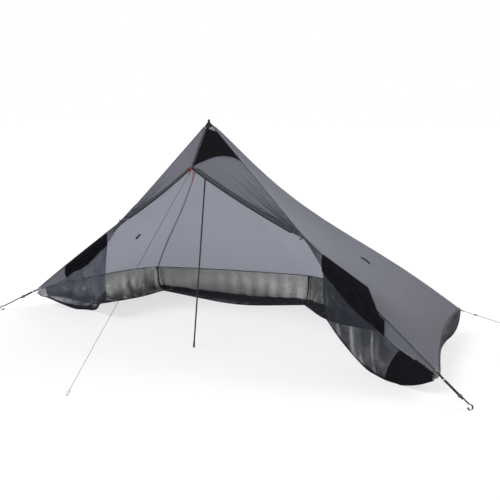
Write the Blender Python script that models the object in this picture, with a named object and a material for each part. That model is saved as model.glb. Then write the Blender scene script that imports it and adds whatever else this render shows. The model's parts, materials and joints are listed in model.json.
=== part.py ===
"""A one-person camping tarp, pitched on a single pole with both doors tied back.

Metres. +X is to the right as seen from the doorway, +Y is to the back and +Z is up.
The origin is on the ground, under the middle of the pole's foot.
"""

import functools
import math

import bmesh
import bpy
import numpy as np

# The pitch: the places of the peak, the corners and the ground points
PEAK_HEIGHT = 1.245
PEAK_BACK = 0.153
FRONT_HALF_WIDTH = 1.428
FRONT_CORNER_BACK = 0.054
FRONT_CORNER_HEIGHT = 0.117
REAR_HALF_WIDTH = 1.165
REAR_CORNER_BACK = 0.967
BACK_CENTRE_BACK = 1.213
BACK_CENTRE_HEIGHT = 0.196
BEAK_BACK = 0.001
BEAK_HEIGHT = 0.999
FRONT_STAKE_FORWARD = 0.918
TOGGLE_SHARE = 0.44

# How far the cloth sags between the points that hold it
FRONT_RIDGE_SAG = 0.008
RIGHT_TOGGLE_DIP = 0.046
LEFT_TOGGLE_DIP = 0.074
REAR_RIDGE_SAG = 0.072
HEM_SCALLOP = 0.052
BACK_SCALLOP = 0.012
PANEL_HOLLOW = 0.030
FREE_EDGE_SAG = 0.014
PLEAT_DEPTH = 0.009
PLEATS = 3
DOOR_SWELL = 0.010
NETTING_BELLY = 0.012

# Cloth, webbing and cord
CLOTH = 0.0012
NETTING = 0.0010
WEBBING = 0.0012
GAP = 0.0004
SEAM_RADIUS = 0.0022
HEM_RADIUS = 0.0016
NETTING_HEM = 0.0012
GROUND_GAP = 0.0001
WEBBING_WIDTH = 0.015
NARROW_WEBBING = 0.010
GUYLINE_RADIUS = 0.00125
FRONT_LINE_RADIUS = 0.0010
STRIP_DEPTH = 0.078
NECK_DEPTH = 0.014
NETTING_START_SHARE = 0.53
NETTING_SPREAD = 0.150
CORNER_SPREAD = 0.80
CENTRE_SPREAD = 0.35
MIDDLE_SPREAD = 1.0
END_NET_START = 0.07
END_NET_LAST = 0.984
END_NET_GATHER = 0.28
END_NET_TIGHT = 0.25
END_NET_LIFT = 0.070
CORNER_SLIT = 0.006
HEM_START = 0.035
HEM_END = 0.97

# The peak
CAP_REACH = 0.038
CAP_WALL = 0.0025
CUP_TOP = 0.012
CUP_REACH = 0.034
PEAK_LOOP_HEIGHT = 0.014
PEAK_LOOP_RADIUS = 0.0035
PEAK_LOOP_LEG = (0.006, 0.026)

# The pole
POLE_RADIUS = 0.0043
POLE_BORE = 0.0033
TIP_RADIUS = 0.0032
SPIGOT_LENGTH = 0.070
SHOCK_CORD_RADIUS = 0.0011
POLE_SECTIONS = 3
FOOT_LENGTH = 0.032
FOOT_RADIUS = 0.0058
FOOT_FLAT_RADIUS = 0.0042
FOOT_EDGE = 0.003
FOOT_LIP = 0.0006
PLUG_LENGTH = 0.020
TIP_LENGTH = 0.018
TIP_GAP = 0.016
POLE_SWING = 8.0

# The zip
ZIP_ROW_OFFSET = 0.0017
ZIP_ROW_RADIUS = 0.0008
DOOR_EDGE = 0.0070
TAPE_WIDTH = 0.013
ZIP_END = 0.90
TAPE = 0.0008
SLIDER_LENGTH = 0.011
SLIDER_WIDTH = 0.009
SLIDER_PLATE = 0.0010
SLIDER_REST = 0.013
SLIDER_LIP = 0.0008
SLIDER_OVERLAP = 0.0002
DIVIDER_LENGTH = 0.0030
BRIDGE_WIDTH = 0.0024
BRIDGE_STRIP = 0.0008
OUTER_PULL_LENGTH = 0.036
INNER_PULL_LENGTH = 0.070
PULL_CORD_RADIUS = 0.0010
PULL_HALF_WIDTH = 0.0018
PULL_TURN = 0.0022
PULL_END_RADIUS = 0.0032

# Straps, rings and adjusters
TAB_LEG = 0.024
RING_WIRE = 0.0015
RING_LENGTH = 0.014
STAKE_LOOP_RADIUS = 0.012
EYE_RADIUS = 0.007
EYE_POINTS = 17
RUN_POINTS = 8
STAKE_EYE_POINTS = 14
TENSIONER_LENGTH = 0.022
TENSIONER_RADIUS = 0.0038
TENSIONER_EDGE = 0.003
TAB_OUT = 0.014
TAB_FLAT = 0.004
RING_TURN = 0.0025
STRAP_TAIL = 0.020
TAB_EYE_LENGTH = 0.026
STAKE_EYE_LENGTH = 0.040
BEAK_EYE_OUT = 0.0045
DROP_LENGTH = 0.86
SLIDER_BODY = 0.016
SLIDER_WALL = 0.0018
BEAK_BAND = (0.010, 0.016)
BEAK_BAND_HALF_WIDTH = 0.0028
BEAK_ARM_WIDTH = 0.010
BEAK_ARM_LIP = 0.003
TOGGLE_RADIUS = 0.0038
TOGGLE_WAIST = 0.0027
TOGGLE_GROOVE = 0.0050
TOGGLE_LENGTH = 0.030
TOGGLE_LOOP_RADIUS = 0.0105
TOGGLE_LOOP_REACH = 0.0080
TOGGLE_SEAT = 0.0008
TOGGLE_CORD_RADIUS = 0.0012
PULL_OUT_LENGTH = 0.065
PULL_OUT_RISE = 0.005

# Soft shapes seen on the doors and the netting
PATCH_DEPTH = 0.94
PATCH_REACH = 0.36
PATCH_CURVE = 1.6
CORNER_PANEL_START = 1.67
CORNER_PANEL_STEPS = (0.02, 0.25, 0.50, 0.75, 0.94)
FLOOR_MIDDLE_BACK = 0.35
ROLL_LAST = 1.62
ROLL_TOP = 0.008
ROLL_PEAK = 0.74
ROLL_FALL = 0.915
ROLL_WIDTH = 0.108
ROLL_THICKNESS = 0.034
ROLL_CLEARANCE = 0.0014

# The rows that a door shares with its ridge seam and its end panel, and the columns of each cloth
DOOR_ROWS = (0.0, 0.05, 0.16, 0.32, 0.50, 0.68, 0.86, 1.0, 1.10, 1.25, 1.50, 1.75, 1.94)
DOOR_COLUMNS = tuple(k / 9 for k in range(10))
END_COLUMNS = 6
BACK_COLUMNS = 10
# The netting's columns are close together at its folded hem
NET_STEPS = (0.0, 0.20, 0.42, 0.66, 0.86, 0.960, 0.980, 1.0)
DOOR_NET_STEPS = (0.0, 0.25, 0.50, 0.75, 0.960, 0.980, 1.0)
NETTING_FIRST = 1 + (NETTING_START_SHARE - TOGGLE_SHARE) / (1 - TOGGLE_SHARE)
NETTING_LAST = 1.965
NET_ROWS = (NETTING_FIRST, 1.25, 1.33, 1.42, 1.50, 1.58, 1.67, 1.75, 1.83, 1.90, NETTING_LAST)

LEFT = -1
RIGHT = 1
SIDES = {"left": LEFT, "right": RIGHT}
UP = np.array([0.0, 0.0, 1.0])
OUT_OF_DOOR = np.array([0.0, -0.85, 0.53])
OUT_OF_BACK = np.array([0.0, 0.70, 0.71])
ACROSS = np.array([1.0, 0.0, 0.0])
BACKWARD = np.array([0.0, 1.0, 0.0])
PEAK = np.array([0.0, PEAK_BACK, PEAK_HEIGHT])
BEAK = np.array([0.0, BEAK_BACK, BEAK_HEIGHT])
BACK_CENTRE = np.array([0.0, BACK_CENTRE_BACK, BACK_CENTRE_HEIGHT])
FRONT_STAKE = np.array([0.0, -FRONT_STAKE_FORWARD, 0.0])


def front_corner(side):
    return np.array([side * FRONT_HALF_WIDTH, FRONT_CORNER_BACK, FRONT_CORNER_HEIGHT])


def rear_corner(side):
    return np.array([side * REAR_HALF_WIDTH, REAR_CORNER_BACK, REAR_CORNER_HEIGHT[side]])


# The two rear corners are pitched at slightly different heights
REAR_CORNER_HEIGHT = {RIGHT: 0.195, LEFT: 0.158}
# Where each strap and guyline meets the ground, as an offset from its corner
STRAP_REACH = {RIGHT: np.array([0.189, -0.038]), LEFT: np.array([-0.147, -0.219])}
REAR_LINE_REACH = {RIGHT: np.array([0.288, 0.433]), LEFT: np.array([-0.235, 0.063])}
BACK_LINE_REACH = np.array([0.0, 0.300])
STRAP_SLIDER_AT = {RIGHT: 0.095, LEFT: 0.060}
# Where each end panel's pull-out lies, down and across the panel
PULL_OUT_PLACE = {RIGHT: (0.65, 0.73), LEFT: (0.61, 0.50)}
# How far each roll rises over its ridge, at its upper end and at its highest
ROLL_RISE = {RIGHT: (0.020, 0.080), LEFT: (0.0, 0.0)}
REAR_TENSIONER_AT = {RIGHT: 0.060, LEFT: 0.080}
BACK_TENSIONER_AT = 0.060

FINISHES = {
    "canopy_cloth": ((0.205, 0.215, 0.235), 0.62, 0.0),
    "black_cloth": ((0.022, 0.023, 0.026), 0.70, 0.0),
    "mesh_net": ((0.030, 0.032, 0.040), 0.80, 0.0),
    "seam_tape": ((0.060, 0.062, 0.070), 0.65, 0.0),
    "black_webbing": ((0.018, 0.018, 0.020), 0.75, 0.0),
    "black_cord": ((0.020, 0.020, 0.022), 0.70, 0.0),
    "black_plastic": ((0.015, 0.015, 0.016), 0.40, 0.0),
    "pole_tube": ((0.020, 0.020, 0.022), 0.35, 0.0),
    "ring_steel": ((0.040, 0.040, 0.042), 0.40, 1.0),
    "zip_metal": ((0.050, 0.050, 0.055), 0.35, 1.0),
    "red_cord": ((0.500, 0.030, 0.020), 0.60, 0.0),
    "foot_rubber": ((0.018, 0.018, 0.018), 0.85, 0.0),
}


# Vectors and curves


def unit(vector):
    return vector / np.linalg.norm(vector)


def mix(start, end, share):
    return start + (end - start) * share


def smooth_step(share):
    share = min(1.0, max(0.0, share))
    return share * share * (3 - 2 * share)


def on_grid(grid, rows, columns, along, across):
    """A point on the straight-edged patches of a grid whose rows and columns are numbered as given."""
    i = int(np.clip(np.searchsorted(rows, along, "right") - 1, 0, len(rows) - 2))
    j = int(np.clip(np.searchsorted(columns, across, "right") - 1, 0, len(columns) - 2))
    down = (along - rows[i]) / (rows[i + 1] - rows[i])
    over = (across - columns[j]) / (columns[j + 1] - columns[j])
    return mix(mix(grid[i][j], grid[i][j + 1], over), mix(grid[i + 1][j], grid[i + 1][j + 1], over), down)


def normal_to(surface, along, across, facing):
    """The unit normal of a surface at a place, on the side that facing points to."""
    step = 0.01
    first = surface(along + step, across) - surface(along - step, across)
    second = surface(along, min(across + step, 1.0)) - surface(along, max(across - step, 0.0))
    normal = unit(np.cross(first, second))
    return normal if normal @ facing > 0 else -normal


def curve_through(points, count):
    """Evenly numbered points on a smooth curve through the given ones."""
    points = np.array(points, float)
    before, after = 2 * points[0] - points[1], 2 * points[-1] - points[-2]
    padded = np.vstack([before, points, after])
    found = []
    for place in np.linspace(0, len(points) - 1, count):
        start = min(int(place), len(points) - 2)
        share = place - start
        a, b, c, d = padded[start : start + 4]
        found.append(
            0.5
            * (2 * b + (c - a) * share + (2 * a - 5 * b + 4 * c - d) * share**2 + (3 * b - a - 3 * c + d) * share**3)
        )
    return np.array(found)


def arc(centre, first, second, radius, start, end, steps):
    """Points on an arc: angle 0 is along the first axis and 90 along the second."""
    angles = np.radians(np.linspace(start, end, steps + 1))
    return [centre + radius * (math.cos(a) * first + math.sin(a) * second) for a in angles]


# The tarp's own lines: ridges, hems, the zip and the free edges of the doors


def front_ridge(side, share):
    """From the cap at the peak (share 0) to a front corner (share 1)."""
    corner = front_corner(side)
    reach = np.linalg.norm(corner - PEAK)
    along = mix(CAP_REACH / reach, 1.0, share)
    dip = RIGHT_TOGGLE_DIP if side == RIGHT else LEFT_TOGGLE_DIP
    kink = min(share / TOGGLE_SHARE, ((1 - share) / (1 - TOGGLE_SHARE)) ** 1.4)
    return mix(PEAK, corner, along) - UP * (dip * kink + FRONT_RIDGE_SAG * 4 * share * (1 - share))


def rear_ridge(side, share):
    """From the cap at the peak to a rear corner, lowest at a third of its length."""
    corner = rear_corner(side)
    reach = np.linalg.norm(corner - PEAK)
    along = mix(CAP_REACH / reach, 1.0, share)
    deepest = (1 / 3) ** 1.5 * (2 / 3) ** 3
    return mix(PEAK, corner, along) - UP * REAR_RIDGE_SAG * share**1.5 * (1 - share) ** 3 / deepest


def scalloped(start, end, share, depth):
    """A hem that curves up its panel between two held corners."""
    to_peak = unit(PEAK - mix(start, end, 0.5))
    return mix(start, end, share) + to_peak * depth * 4 * share * (1 - share)


def stitched(curve, share, count):
    """A point on the straight runs between evenly spaced stations of a curve."""
    start = min(int(share * count), count - 1)
    return mix(curve(start / count), curve((start + 1) / count), share * count - start)


def end_hem(side, share):
    """From a front corner to the rear corner of the same side."""
    return stitched(lambda s: scalloped(front_corner(side), rear_corner(side), s, HEM_SCALLOP), share, END_COLUMNS)


def back_hem(share):
    """From the left rear corner, by the back centre, to the right rear corner."""
    half = BACK_COLUMNS // 2
    if share <= 0.5:
        return stitched(lambda s: scalloped(rear_corner(LEFT), BACK_CENTRE, s, BACK_SCALLOP), 2 * share, half)
    return stitched(lambda s: scalloped(BACK_CENTRE, rear_corner(RIGHT), s, BACK_SCALLOP), 2 * share - 1, half)


def out_of_end(side):
    """The way out of an end panel."""
    return unit(np.array([side * 0.62, 0.20, 0.75]))


def end_panel_point(side, down, across):
    """down runs from the cap to the hem, across from the front ridge to the rear ridge."""
    front, rear = front_ridge(side, down), rear_ridge(side, down)
    to_hem = end_hem(side, across) - mix(front_corner(side), rear_corner(side), across)
    hollow = PANEL_HOLLOW * math.sin(math.pi * down) * math.sin(math.pi * across)
    return mix(front, rear, across) + to_hem * down**2 - out_of_end(side) * hollow


def back_panel_point(down, across):
    """down runs from the cap to the hem, across from the left ridge to the right ridge."""
    left, right = rear_ridge(LEFT, down), rear_ridge(RIGHT, down)
    to_hem = back_hem(across) - mix(rear_corner(LEFT), rear_corner(RIGHT), across)
    hollow = PANEL_HOLLOW * math.sin(math.pi * down) * math.sin(math.pi * across)
    return mix(left, right, across) + to_hem * down - OUT_OF_BACK * hollow


# A door is measured along its ridge: 0 at the zip, 1 at the toggle that gathers it, 2 at the corner


def ridge_share(along):
    """The share of the front ridge at a place along the door."""
    return TOGGLE_SHARE * along if along <= 1 else mix(TOGGLE_SHARE, 1.0, along - 1)


def door_ridge(side, along):
    point = front_ridge(side, ridge_share(along))
    if along < DOOR_ROWS[1]:
        start = PEAK + unit(BEAK - PEAK) * CAP_REACH + ACROSS * side * DOOR_EDGE
        point = mix(start, front_ridge(side, ridge_share(DOOR_ROWS[1])), along / DOOR_ROWS[1])
    return point


def strip_depth(along):
    """How far the door's free edge hangs below the ridge, past the toggle."""
    opening = mix(NECK_DEPTH, STRIP_DEPTH, smooth_step((along - 1) / 0.20))
    closing = mix(NECK_DEPTH, 1.0, smooth_step((2 - along) / 0.35))
    return min(opening, closing * STRIP_DEPTH + NECK_DEPTH * (1 - closing))


def door_free_edge(side, along):
    if along <= 1:
        start = BEAK + ACROSS * side * DOOR_EDGE
        end = door_ridge(side, 1) - UP * NECK_DEPTH
        return mix(start, end, along) - UP * FREE_EDGE_SAG * 4 * along * (1 - along)
    return door_ridge(side, along) - UP * strip_depth(along)


def door_point(side, along, down):
    """down runs from the ridge (0) to the free edge (1)."""
    point = mix(door_ridge(side, along), door_free_edge(side, along), down)
    if along < 1:
        swell = math.sin(math.pi * along) * math.sin(math.pi * down) ** 2
        fold = math.sin(math.pi * along) * math.sin(math.pi * down) * math.sin(2 * math.pi * PLEATS * down)
        point = point + OUT_OF_DOOR * (DOOR_SWELL * swell + PLEAT_DEPTH * along * fold)
    return point


# The netting is one strip of constant drop, sewn all round under the canopy's hem


def door_netting_foot(side, along):
    """The lower edge of a door's netting, which hangs free at its front and lies on the ground further on."""
    if side == RIGHT:
        held = [
            (0.745, 0.178, 0.247),
            (0.800, 0.235, 0.130),
            (0.900, 0.250, 0.030),
            (0.996, 0.205, 0.0),
            (1.110, 0.145, 0.0),
            (1.199, 0.125, 0.0),
            (1.310, 0.075, 0.040),
            (1.398, 0.056, 0.085),
        ]
    else:
        held = [
            (-0.750, 0.057, 0.161),
            (-0.850, 0.095, 0.100),
            (-0.960, 0.165, 0.035),
            (-1.066, 0.209, 0.0),
            (-1.160, 0.172, 0.0),
            (-1.240, 0.115, 0.035),
            (-1.320, 0.075, 0.070),
            (-1.398, 0.054, 0.090),
        ]
    place = (along - NETTING_FIRST) / (NETTING_LAST - NETTING_FIRST) * (len(held) - 1)
    start = min(max(int(place), 0), len(held) - 2)
    share = place - start
    padded = np.array([held[0]] + held + [held[-1]])
    a, b, c, d = padded[start : start + 4]
    foot = mix(b, c, share) + (share * (1 - share)) * ((1 - share) * (b - a) - share * (d - c)) / 3
    foot[2] = max(foot[2], 0.0)
    return foot + UP * (NETTING_HEM + NETTING / 2 + GROUND_GAP)


def door_netting_grid(side):
    """From the strip's lower edge down to the netting's hem."""
    grid = []
    for along in NET_ROWS:
        top = on_door(side, along, 1.0) - UP * 2 * GAP
        foot = door_netting_foot(side, along)
        bellies = [BACKWARD * NETTING_BELLY * math.sin(math.pi * down) for down in DOOR_NET_STEPS]
        grid.append([mix(top, foot, down) - belly for down, belly in zip(DOOR_NET_STEPS, bellies)])
    return np.array(grid)


def hanging_point(top, inward, down, thickness, lift=0.0):
    """A strip that falls from a hem and then lies inward along the ground, or ends a lift above it."""
    foot = thickness / 2 + GROUND_GAP + lift
    height = top[2] - HEM_RADIUS - GAP - foot
    place = top + inward * NETTING_SPREAD * down**2.2
    place[2] = foot + height * (1 - down) ** 1.7
    return place


# Building meshes


def make_material(name):
    colour, roughness, metallic = FINISHES[name]
    material = bpy.data.materials.get(name)
    if material is None:
        material = bpy.data.materials.new(name)
        material.use_nodes = True
        shader = material.node_tree.nodes["Principled BSDF"]
        shader.inputs["Base Color"].default_value = (*colour, 1.0)
        shader.inputs["Roughness"].default_value = roughness
        shader.inputs["Metallic"].default_value = metallic
    return material


def add_mesh(name, vertices, faces, finish, origin=(0.0, 0.0, 0.0)):
    """A closed mesh object, with its origin where it is said to be."""
    mesh = bpy.data.meshes.new(name)
    moved = np.array(vertices, float) - np.array(origin, float)
    mesh.from_pydata(moved.tolist(), [], faces)
    mesh.validate()
    item = bpy.data.objects.new(name, mesh)
    item.location = origin
    bpy.context.scene.collection.objects.link(item)
    mesh.materials.append(make_material(finish))
    face_outwards(mesh)
    mesh.shade_smooth()
    mesh.set_sharp_from_angle(angle=math.radians(38))
    return item


def face_outwards(mesh):
    work = bmesh.new()
    work.from_mesh(mesh)
    bmesh.ops.recalc_face_normals(work, faces=work.faces)
    work.to_mesh(mesh)
    work.free()


def slab(name, upper, lower, finish, origin=(0.0, 0.0, 0.0)):
    """A closed solid between two grids of points of the same size."""
    rows, columns = upper.shape[:2]
    vertices = np.vstack([upper.reshape(-1, 3), lower.reshape(-1, 3)])
    below = rows * columns
    faces = []
    for i in range(rows - 1):
        for j in range(columns - 1):
            a, b = i * columns + j, i * columns + j + 1
            c, d = a + columns, b + columns
            faces += [(a, c, d), (a, d, b), (below + a, below + d, below + c), (below + a, below + b, below + d)]
    rim = [(0, j) for j in range(columns)]
    rim += [(i, columns - 1) for i in range(1, rows)]
    rim += [(rows - 1, j) for j in range(columns - 2, -1, -1)]
    rim += [(i, 0) for i in range(rows - 2, 0, -1)]
    ring = [i * columns + j for i, j in rim]
    for k, a in enumerate(ring):
        b = ring[(k + 1) % len(ring)]
        faces += [(a, b, below + b), (a, below + b, below + a)]
    return add_mesh(name, vertices, faces, finish, origin)


def grid_normals(grid, facing):
    """A unit normal at each point of a grid, on the side that facing points to."""
    normals = np.cross(np.gradient(grid, axis=0), np.gradient(grid, axis=1))
    normals /= np.linalg.norm(normals, axis=2, keepdims=True)
    if (normals.mean(axis=(0, 1)) * facing).sum() < 0:
        normals = -normals
    return normals


def cloth(name, grid, thickness, finish, facing, offset=0.0, hem=0.0):
    """A closed sheet of cloth on a grid of points, moved out along its normals by an offset.

    A hem thickens the grid's last two columns, on the facing side, or on the other if it is negative.
    """
    grid = np.array(grid, float)
    normals = grid_normals(grid, np.array(facing, float))
    upper = grid + normals * (offset + thickness / 2)
    lower = grid + normals * (offset - thickness / 2)
    if hem > 0:
        upper[:, -2:] += normals[:, -2:] * hem
    else:
        lower[:, -2:] += normals[:, -2:] * hem
    return slab(name, upper, lower, finish)


def tube(name, points, radius, finish, cyclic=False, origin=(0.0, 0.0, 0.0)):
    """A round cord or wire along a line of points, with filled ends."""
    data = bpy.data.curves.new(name, "CURVE")
    data.dimensions = "3D"
    data.bevel_depth = radius
    data.bevel_resolution = 2
    data.use_fill_caps = not cyclic
    spline = data.splines.new("POLY")
    spline.points.add(len(points) - 1)
    for place, point in zip(spline.points, points):
        place.co = (*(np.array(point) - np.array(origin)), 1.0)
    spline.use_cyclic_u = cyclic
    item = bpy.data.objects.new(name, data)
    item.location = origin
    data.materials.append(make_material(finish))
    bpy.context.scene.collection.objects.link(item)
    return item


def ribbon(name, points, width_axis, width, thickness, finish, origin=(0.0, 0.0, 0.0)):
    """A flat strap along a line of points. Its width has one direction, or one for each point."""
    points = np.array(points, float)
    width_axes = np.broadcast_to(width_axis, points.shape)
    tangents = np.array([unit(v) for v in np.gradient(points, axis=0)])
    rows = []
    for k, point in enumerate(points):
        normal = unit(np.cross(width_axes[k], tangents[k]))
        if 0 < k < len(points) - 1:
            before = unit(np.cross(width_axes[k], points[k] - points[k - 1]))
            normal = normal / max(0.5, float(normal @ before))
        half, side = normal * thickness / 2, width_axes[k] * width / 2
        rows.append([point - side - half, point + side - half, point + side + half, point - side + half])
    return loft(name, rows, finish, origin)


def loft(name, rings, finish, origin=(0.0, 0.0, 0.0)):
    """A closed solid through rings of the same number of points, with flat ends."""
    count = len(rings[0])
    vertices = [point for ring in rings for point in ring]
    faces = []
    for i in range(len(rings) - 1):
        for j in range(count):
            a, b = i * count + j, i * count + (j + 1) % count
            faces.append((a, b, b + count, a + count))
    last = (len(rings) - 1) * count
    faces.append(tuple(range(count))[::-1])
    faces.append(tuple(range(last, last + count)))
    return add_mesh(name, vertices, faces, finish, origin)


def side_axes(axis):
    """Two directions square to an axis and to each other."""
    first = unit(np.cross(axis, ACROSS if abs(axis[0]) < 0.8 else UP))
    return first, np.cross(axis, first)


def turned_rings(start, axis, profile, sides):
    """Rings for a turned piece, from (distance along the axis, radius) pairs."""
    first, second = side_axes(axis)
    angles = [2 * math.pi * k / sides for k in range(sides)]
    return [
        [start + axis * z + r * (math.cos(a) * first + math.sin(a) * second) for a in angles] for z, r in profile
    ]


def turned(name, start, axis, profile, sides, finish, origin=(0.0, 0.0, 0.0)):
    return loft(name, turned_rings(start, axis, profile, sides), finish, origin)


def ring_solid(name, rings, finish, origin):
    """A solid with a hole through it: rings run up the outside and back down the hole."""
    count = len(rings[0])
    vertices = [point for ring in rings for point in ring]
    faces = []
    for i in range(len(rings)):
        for j in range(count):
            a, b = i * count + j, i * count + (j + 1) % count
            c, d = (a + count) % len(vertices), (b + count) % len(vertices)
            faces.append((a, b, d, c))
    return add_mesh(name, vertices, faces, finish, origin)


def turned_shell(name, start, axis, profile, sides, finish, origin=(0.0, 0.0, 0.0)):
    """A turned piece with a hole through it: the profile is a closed loop."""
    return ring_solid(name, turned_rings(start, axis, profile, sides), finish, origin)


def cut(item, cutter):
    """Cuts one solid out of another."""
    cutter.hide_render = True
    cutter.display_type = "WIRE"
    modifier = item.modifiers.new("cut", "BOOLEAN")
    modifier.operation = "DIFFERENCE"
    modifier.solver = "EXACT"
    modifier.object = cutter


# The canopy's panels and the seams between them


def ridge_rows():
    return [ridge_share(along) for along in DOOR_ROWS] + [1.0]


def clear_of_seam(ridge, side, down, across):
    """The step across a panel that keeps its edge clear of a ridge seam."""
    along_ridge = unit(ridge(side, min(down + 0.01, 1.0)) - ridge(side, max(down - 0.01, 0.0)))
    slant = np.linalg.norm(np.cross(along_ridge, unit(across)))
    return (SEAM_RADIUS + GAP) / max(slant, 0.35)


def panel_shares(first, last, down, columns):
    """Where a panel's columns cross a row, between its two ridges."""
    start, end = first[0](first[1], down), last[0](last[1], down)
    span = np.linalg.norm(end - start)
    low = clear_of_seam(*first, down, end - start) / span
    high = 1 - clear_of_seam(*last, down, end - start) / span
    return [mix(low, high, j / columns) for j in range(columns + 1)]


def off_the_hem(up_the_panel, along_hem):
    """The step up a panel that keeps its edge clear of the hem's binding."""
    up_the_panel, along_hem = unit(up_the_panel), unit(along_hem)
    slant = np.linalg.norm(np.cross(up_the_panel, along_hem))
    return up_the_panel * (HEM_RADIUS + GAP) / max(slant, 0.35)


@functools.cache
def end_panel_grid(side):
    grid = []
    for down in ridge_rows():
        line = []
        for share in panel_shares((front_ridge, side), (rear_ridge, side), down, END_COLUMNS):
            point = end_panel_point(side, down, share)
            if down == 1:
                up_the_panel = end_panel_point(side, 0.9, share) - point
                along_hem = end_hem(side, share + 0.01) - end_hem(side, share - 0.01)
                point = point + off_the_hem(up_the_panel, along_hem)
            line.append(point)
        grid.append(line)
    return np.array(grid)


def back_panel_grid():
    grid = []
    for down in ridge_rows():
        line = []
        for share in panel_shares((rear_ridge, LEFT), (rear_ridge, RIGHT), down, BACK_COLUMNS):
            point = back_panel_point(down, share)
            if down == 1:
                up_the_panel = back_panel_point(0.9, share) - point
                along_hem = back_hem(share + 0.01) - back_hem(share - 0.01)
                point = point + off_the_hem(up_the_panel, along_hem)
            line.append(point)
        grid.append(line)
    return grid


def on_end_panel(side, down, across):
    columns = [j / END_COLUMNS for j in range(END_COLUMNS + 1)]
    return on_grid(end_panel_grid(side), ridge_rows(), columns, down, across)


def seam_line(ridge, side, corner):
    """A ridge seam's line, which stops short of the tab at its corner."""
    limit = 1 - (TAB_LEG + 2 * SEAM_RADIUS) / np.linalg.norm(corner(side) - PEAK)
    rows = [share for share in ridge_rows() if share < limit]
    last = mix(ridge(side, rows[-1]), ridge(side, 1.0), (limit - rows[-1]) / (1 - rows[-1]))
    return [ridge(side, share) for share in rows] + [last]


def canopy_hem():
    """The line of the binding, from the left front corner round the back to the right front corner."""
    shares = [HEM_START] + [j / END_COLUMNS for j in range(1, END_COLUMNS)] + [HEM_END]
    left = [end_hem(LEFT, share) for share in shares]
    right = [end_hem(RIGHT, share) for share in reversed(shares)]
    back = [back_hem(j / BACK_COLUMNS) for j in range(BACK_COLUMNS + 1)]
    return left + back + right


def build_canopy():
    cloth("back_panel", back_panel_grid(), CLOTH, "canopy_cloth", OUT_OF_BACK)
    for name, side in SIDES.items():
        cloth(f"{name}_end_panel", end_panel_grid(side), CLOTH, "canopy_cloth", out_of_end(side))
        for place, ridge, corner in (("front", front_ridge, front_corner), ("rear", rear_ridge, rear_corner)):
            tube(f"{name}_{place}_ridge_seam", seam_line(ridge, side, corner), SEAM_RADIUS, "seam_tape")
    tube("canopy_hem", canopy_hem(), HEM_RADIUS, "seam_tape")


# The doors


@functools.cache
def door_grid(side):
    grid = []
    for along in DOOR_ROWS:
        across = door_free_edge(side, along) - door_ridge(side, along)
        first = 0.0
        if along:
            first = clear_of_seam(front_ridge, side, ridge_share(along), across) / np.linalg.norm(across)
        grid.append([door_point(side, along, mix(first, 1.0, column)) for column in DOOR_COLUMNS])
    return np.array(grid)


def on_door(side, along, across):
    """A point of a door's cloth: across is 0 beside the ridge seam and 1 at the free edge."""
    return on_grid(door_grid(side), DOOR_ROWS, DOOR_COLUMNS, along, across)


def door_normal(side, along, across):
    return normal_to(functools.partial(on_door, side), along, across, OUT_OF_DOOR)


def build_doors():
    for name, side in SIDES.items():
        cloth(f"{name}_door", door_grid(side), CLOTH, "canopy_cloth", OUT_OF_DOOR)
    grid = []
    for along in (0.012, 0.05, 0.10, 0.16, 0.22, 0.28, 0.32):
        depth = PATCH_DEPTH * (1 - along / PATCH_REACH) ** PATCH_CURVE
        grid.append([on_door(RIGHT, along, mix(0.01, depth, j / 6)) for j in range(7)])
    cloth("peak_reinforcement", grid, CLOTH, "black_cloth", OUT_OF_DOOR, CLOTH + 3 * GAP)


# The netting all round, its hems and the rolls that the tied-back doors leave


def inward_from(point):
    """The level direction from a hem towards the middle of the floor."""
    direction = np.array([0.0, FLOOR_MIDDLE_BACK, 0.0]) - point * np.array([1.0, 1.0, 0.0])
    return unit(direction)


def end_net_line(side, share):
    """One line of an end's netting, gathered up under its hem near the door."""
    top = end_hem(side, share)
    near_door = 1 - smooth_step((share - END_NET_START) / END_NET_GATHER)
    near_rear = 1 - smooth_step((1 - share) / END_NET_GATHER)
    spread = mix(mix(1.0, END_NET_TIGHT, near_door), CORNER_SPREAD, near_rear)
    lift = END_NET_LIFT * near_door
    return [hanging_point(top, inward_from(top) * spread, down, NETTING, lift) for down in NET_STEPS]


def back_net_line(share):
    """One line of the back netting, which bows inward between its corner and the back centre."""
    top = back_hem(share)
    to_centre = 1 - abs(2 * share - 1)
    spread = mix(CORNER_SPREAD, CENTRE_SPREAD, to_centre) + MIDDLE_SPREAD * math.sin(math.pi * to_centre)
    return [hanging_point(top, inward_from(top) * spread, down, NETTING) for down in NET_STEPS]


def build_netting():
    for name, side in SIDES.items():
        half = BACK_COLUMNS // 2
        stations = [CORNER_SLIT] + [j / BACK_COLUMNS for j in range(1, half)] + [0.5 - CORNER_SLIT]
        if side == RIGHT:
            stations = [1 - share for share in stations]
        back = [back_net_line(share) for share in stations]
        cloth(f"{name}_back_netting", back, NETTING, "mesh_net", BACKWARD, hem=-NETTING_HEM)
        stations = [END_NET_START] + [j / END_COLUMNS for j in range(1, END_COLUMNS)] + [END_NET_LAST]
        end = [end_net_line(side, share) for share in stations]
        cloth(f"{name}_end_netting", end, NETTING, "mesh_net", ACROSS * side, hem=-NETTING_HEM)
        cloth(f"{name}_door_netting", door_netting_grid(side), NETTING, "mesh_net", -BACKWARD, hem=NETTING_HEM)
        build_roll(name, side)
    rows = [row for row in NET_ROWS if row >= CORNER_PANEL_START]
    net = door_netting_grid(RIGHT)
    corner = [[on_grid(net, NET_ROWS, DOOR_NET_STEPS, row, step) for step in CORNER_PANEL_STEPS] for row in rows]
    cloth("right_corner_panel", corner, CLOTH, "black_cloth", -BACKWARD, (NETTING + CLOTH) / 2 + 3 * GAP)


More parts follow.
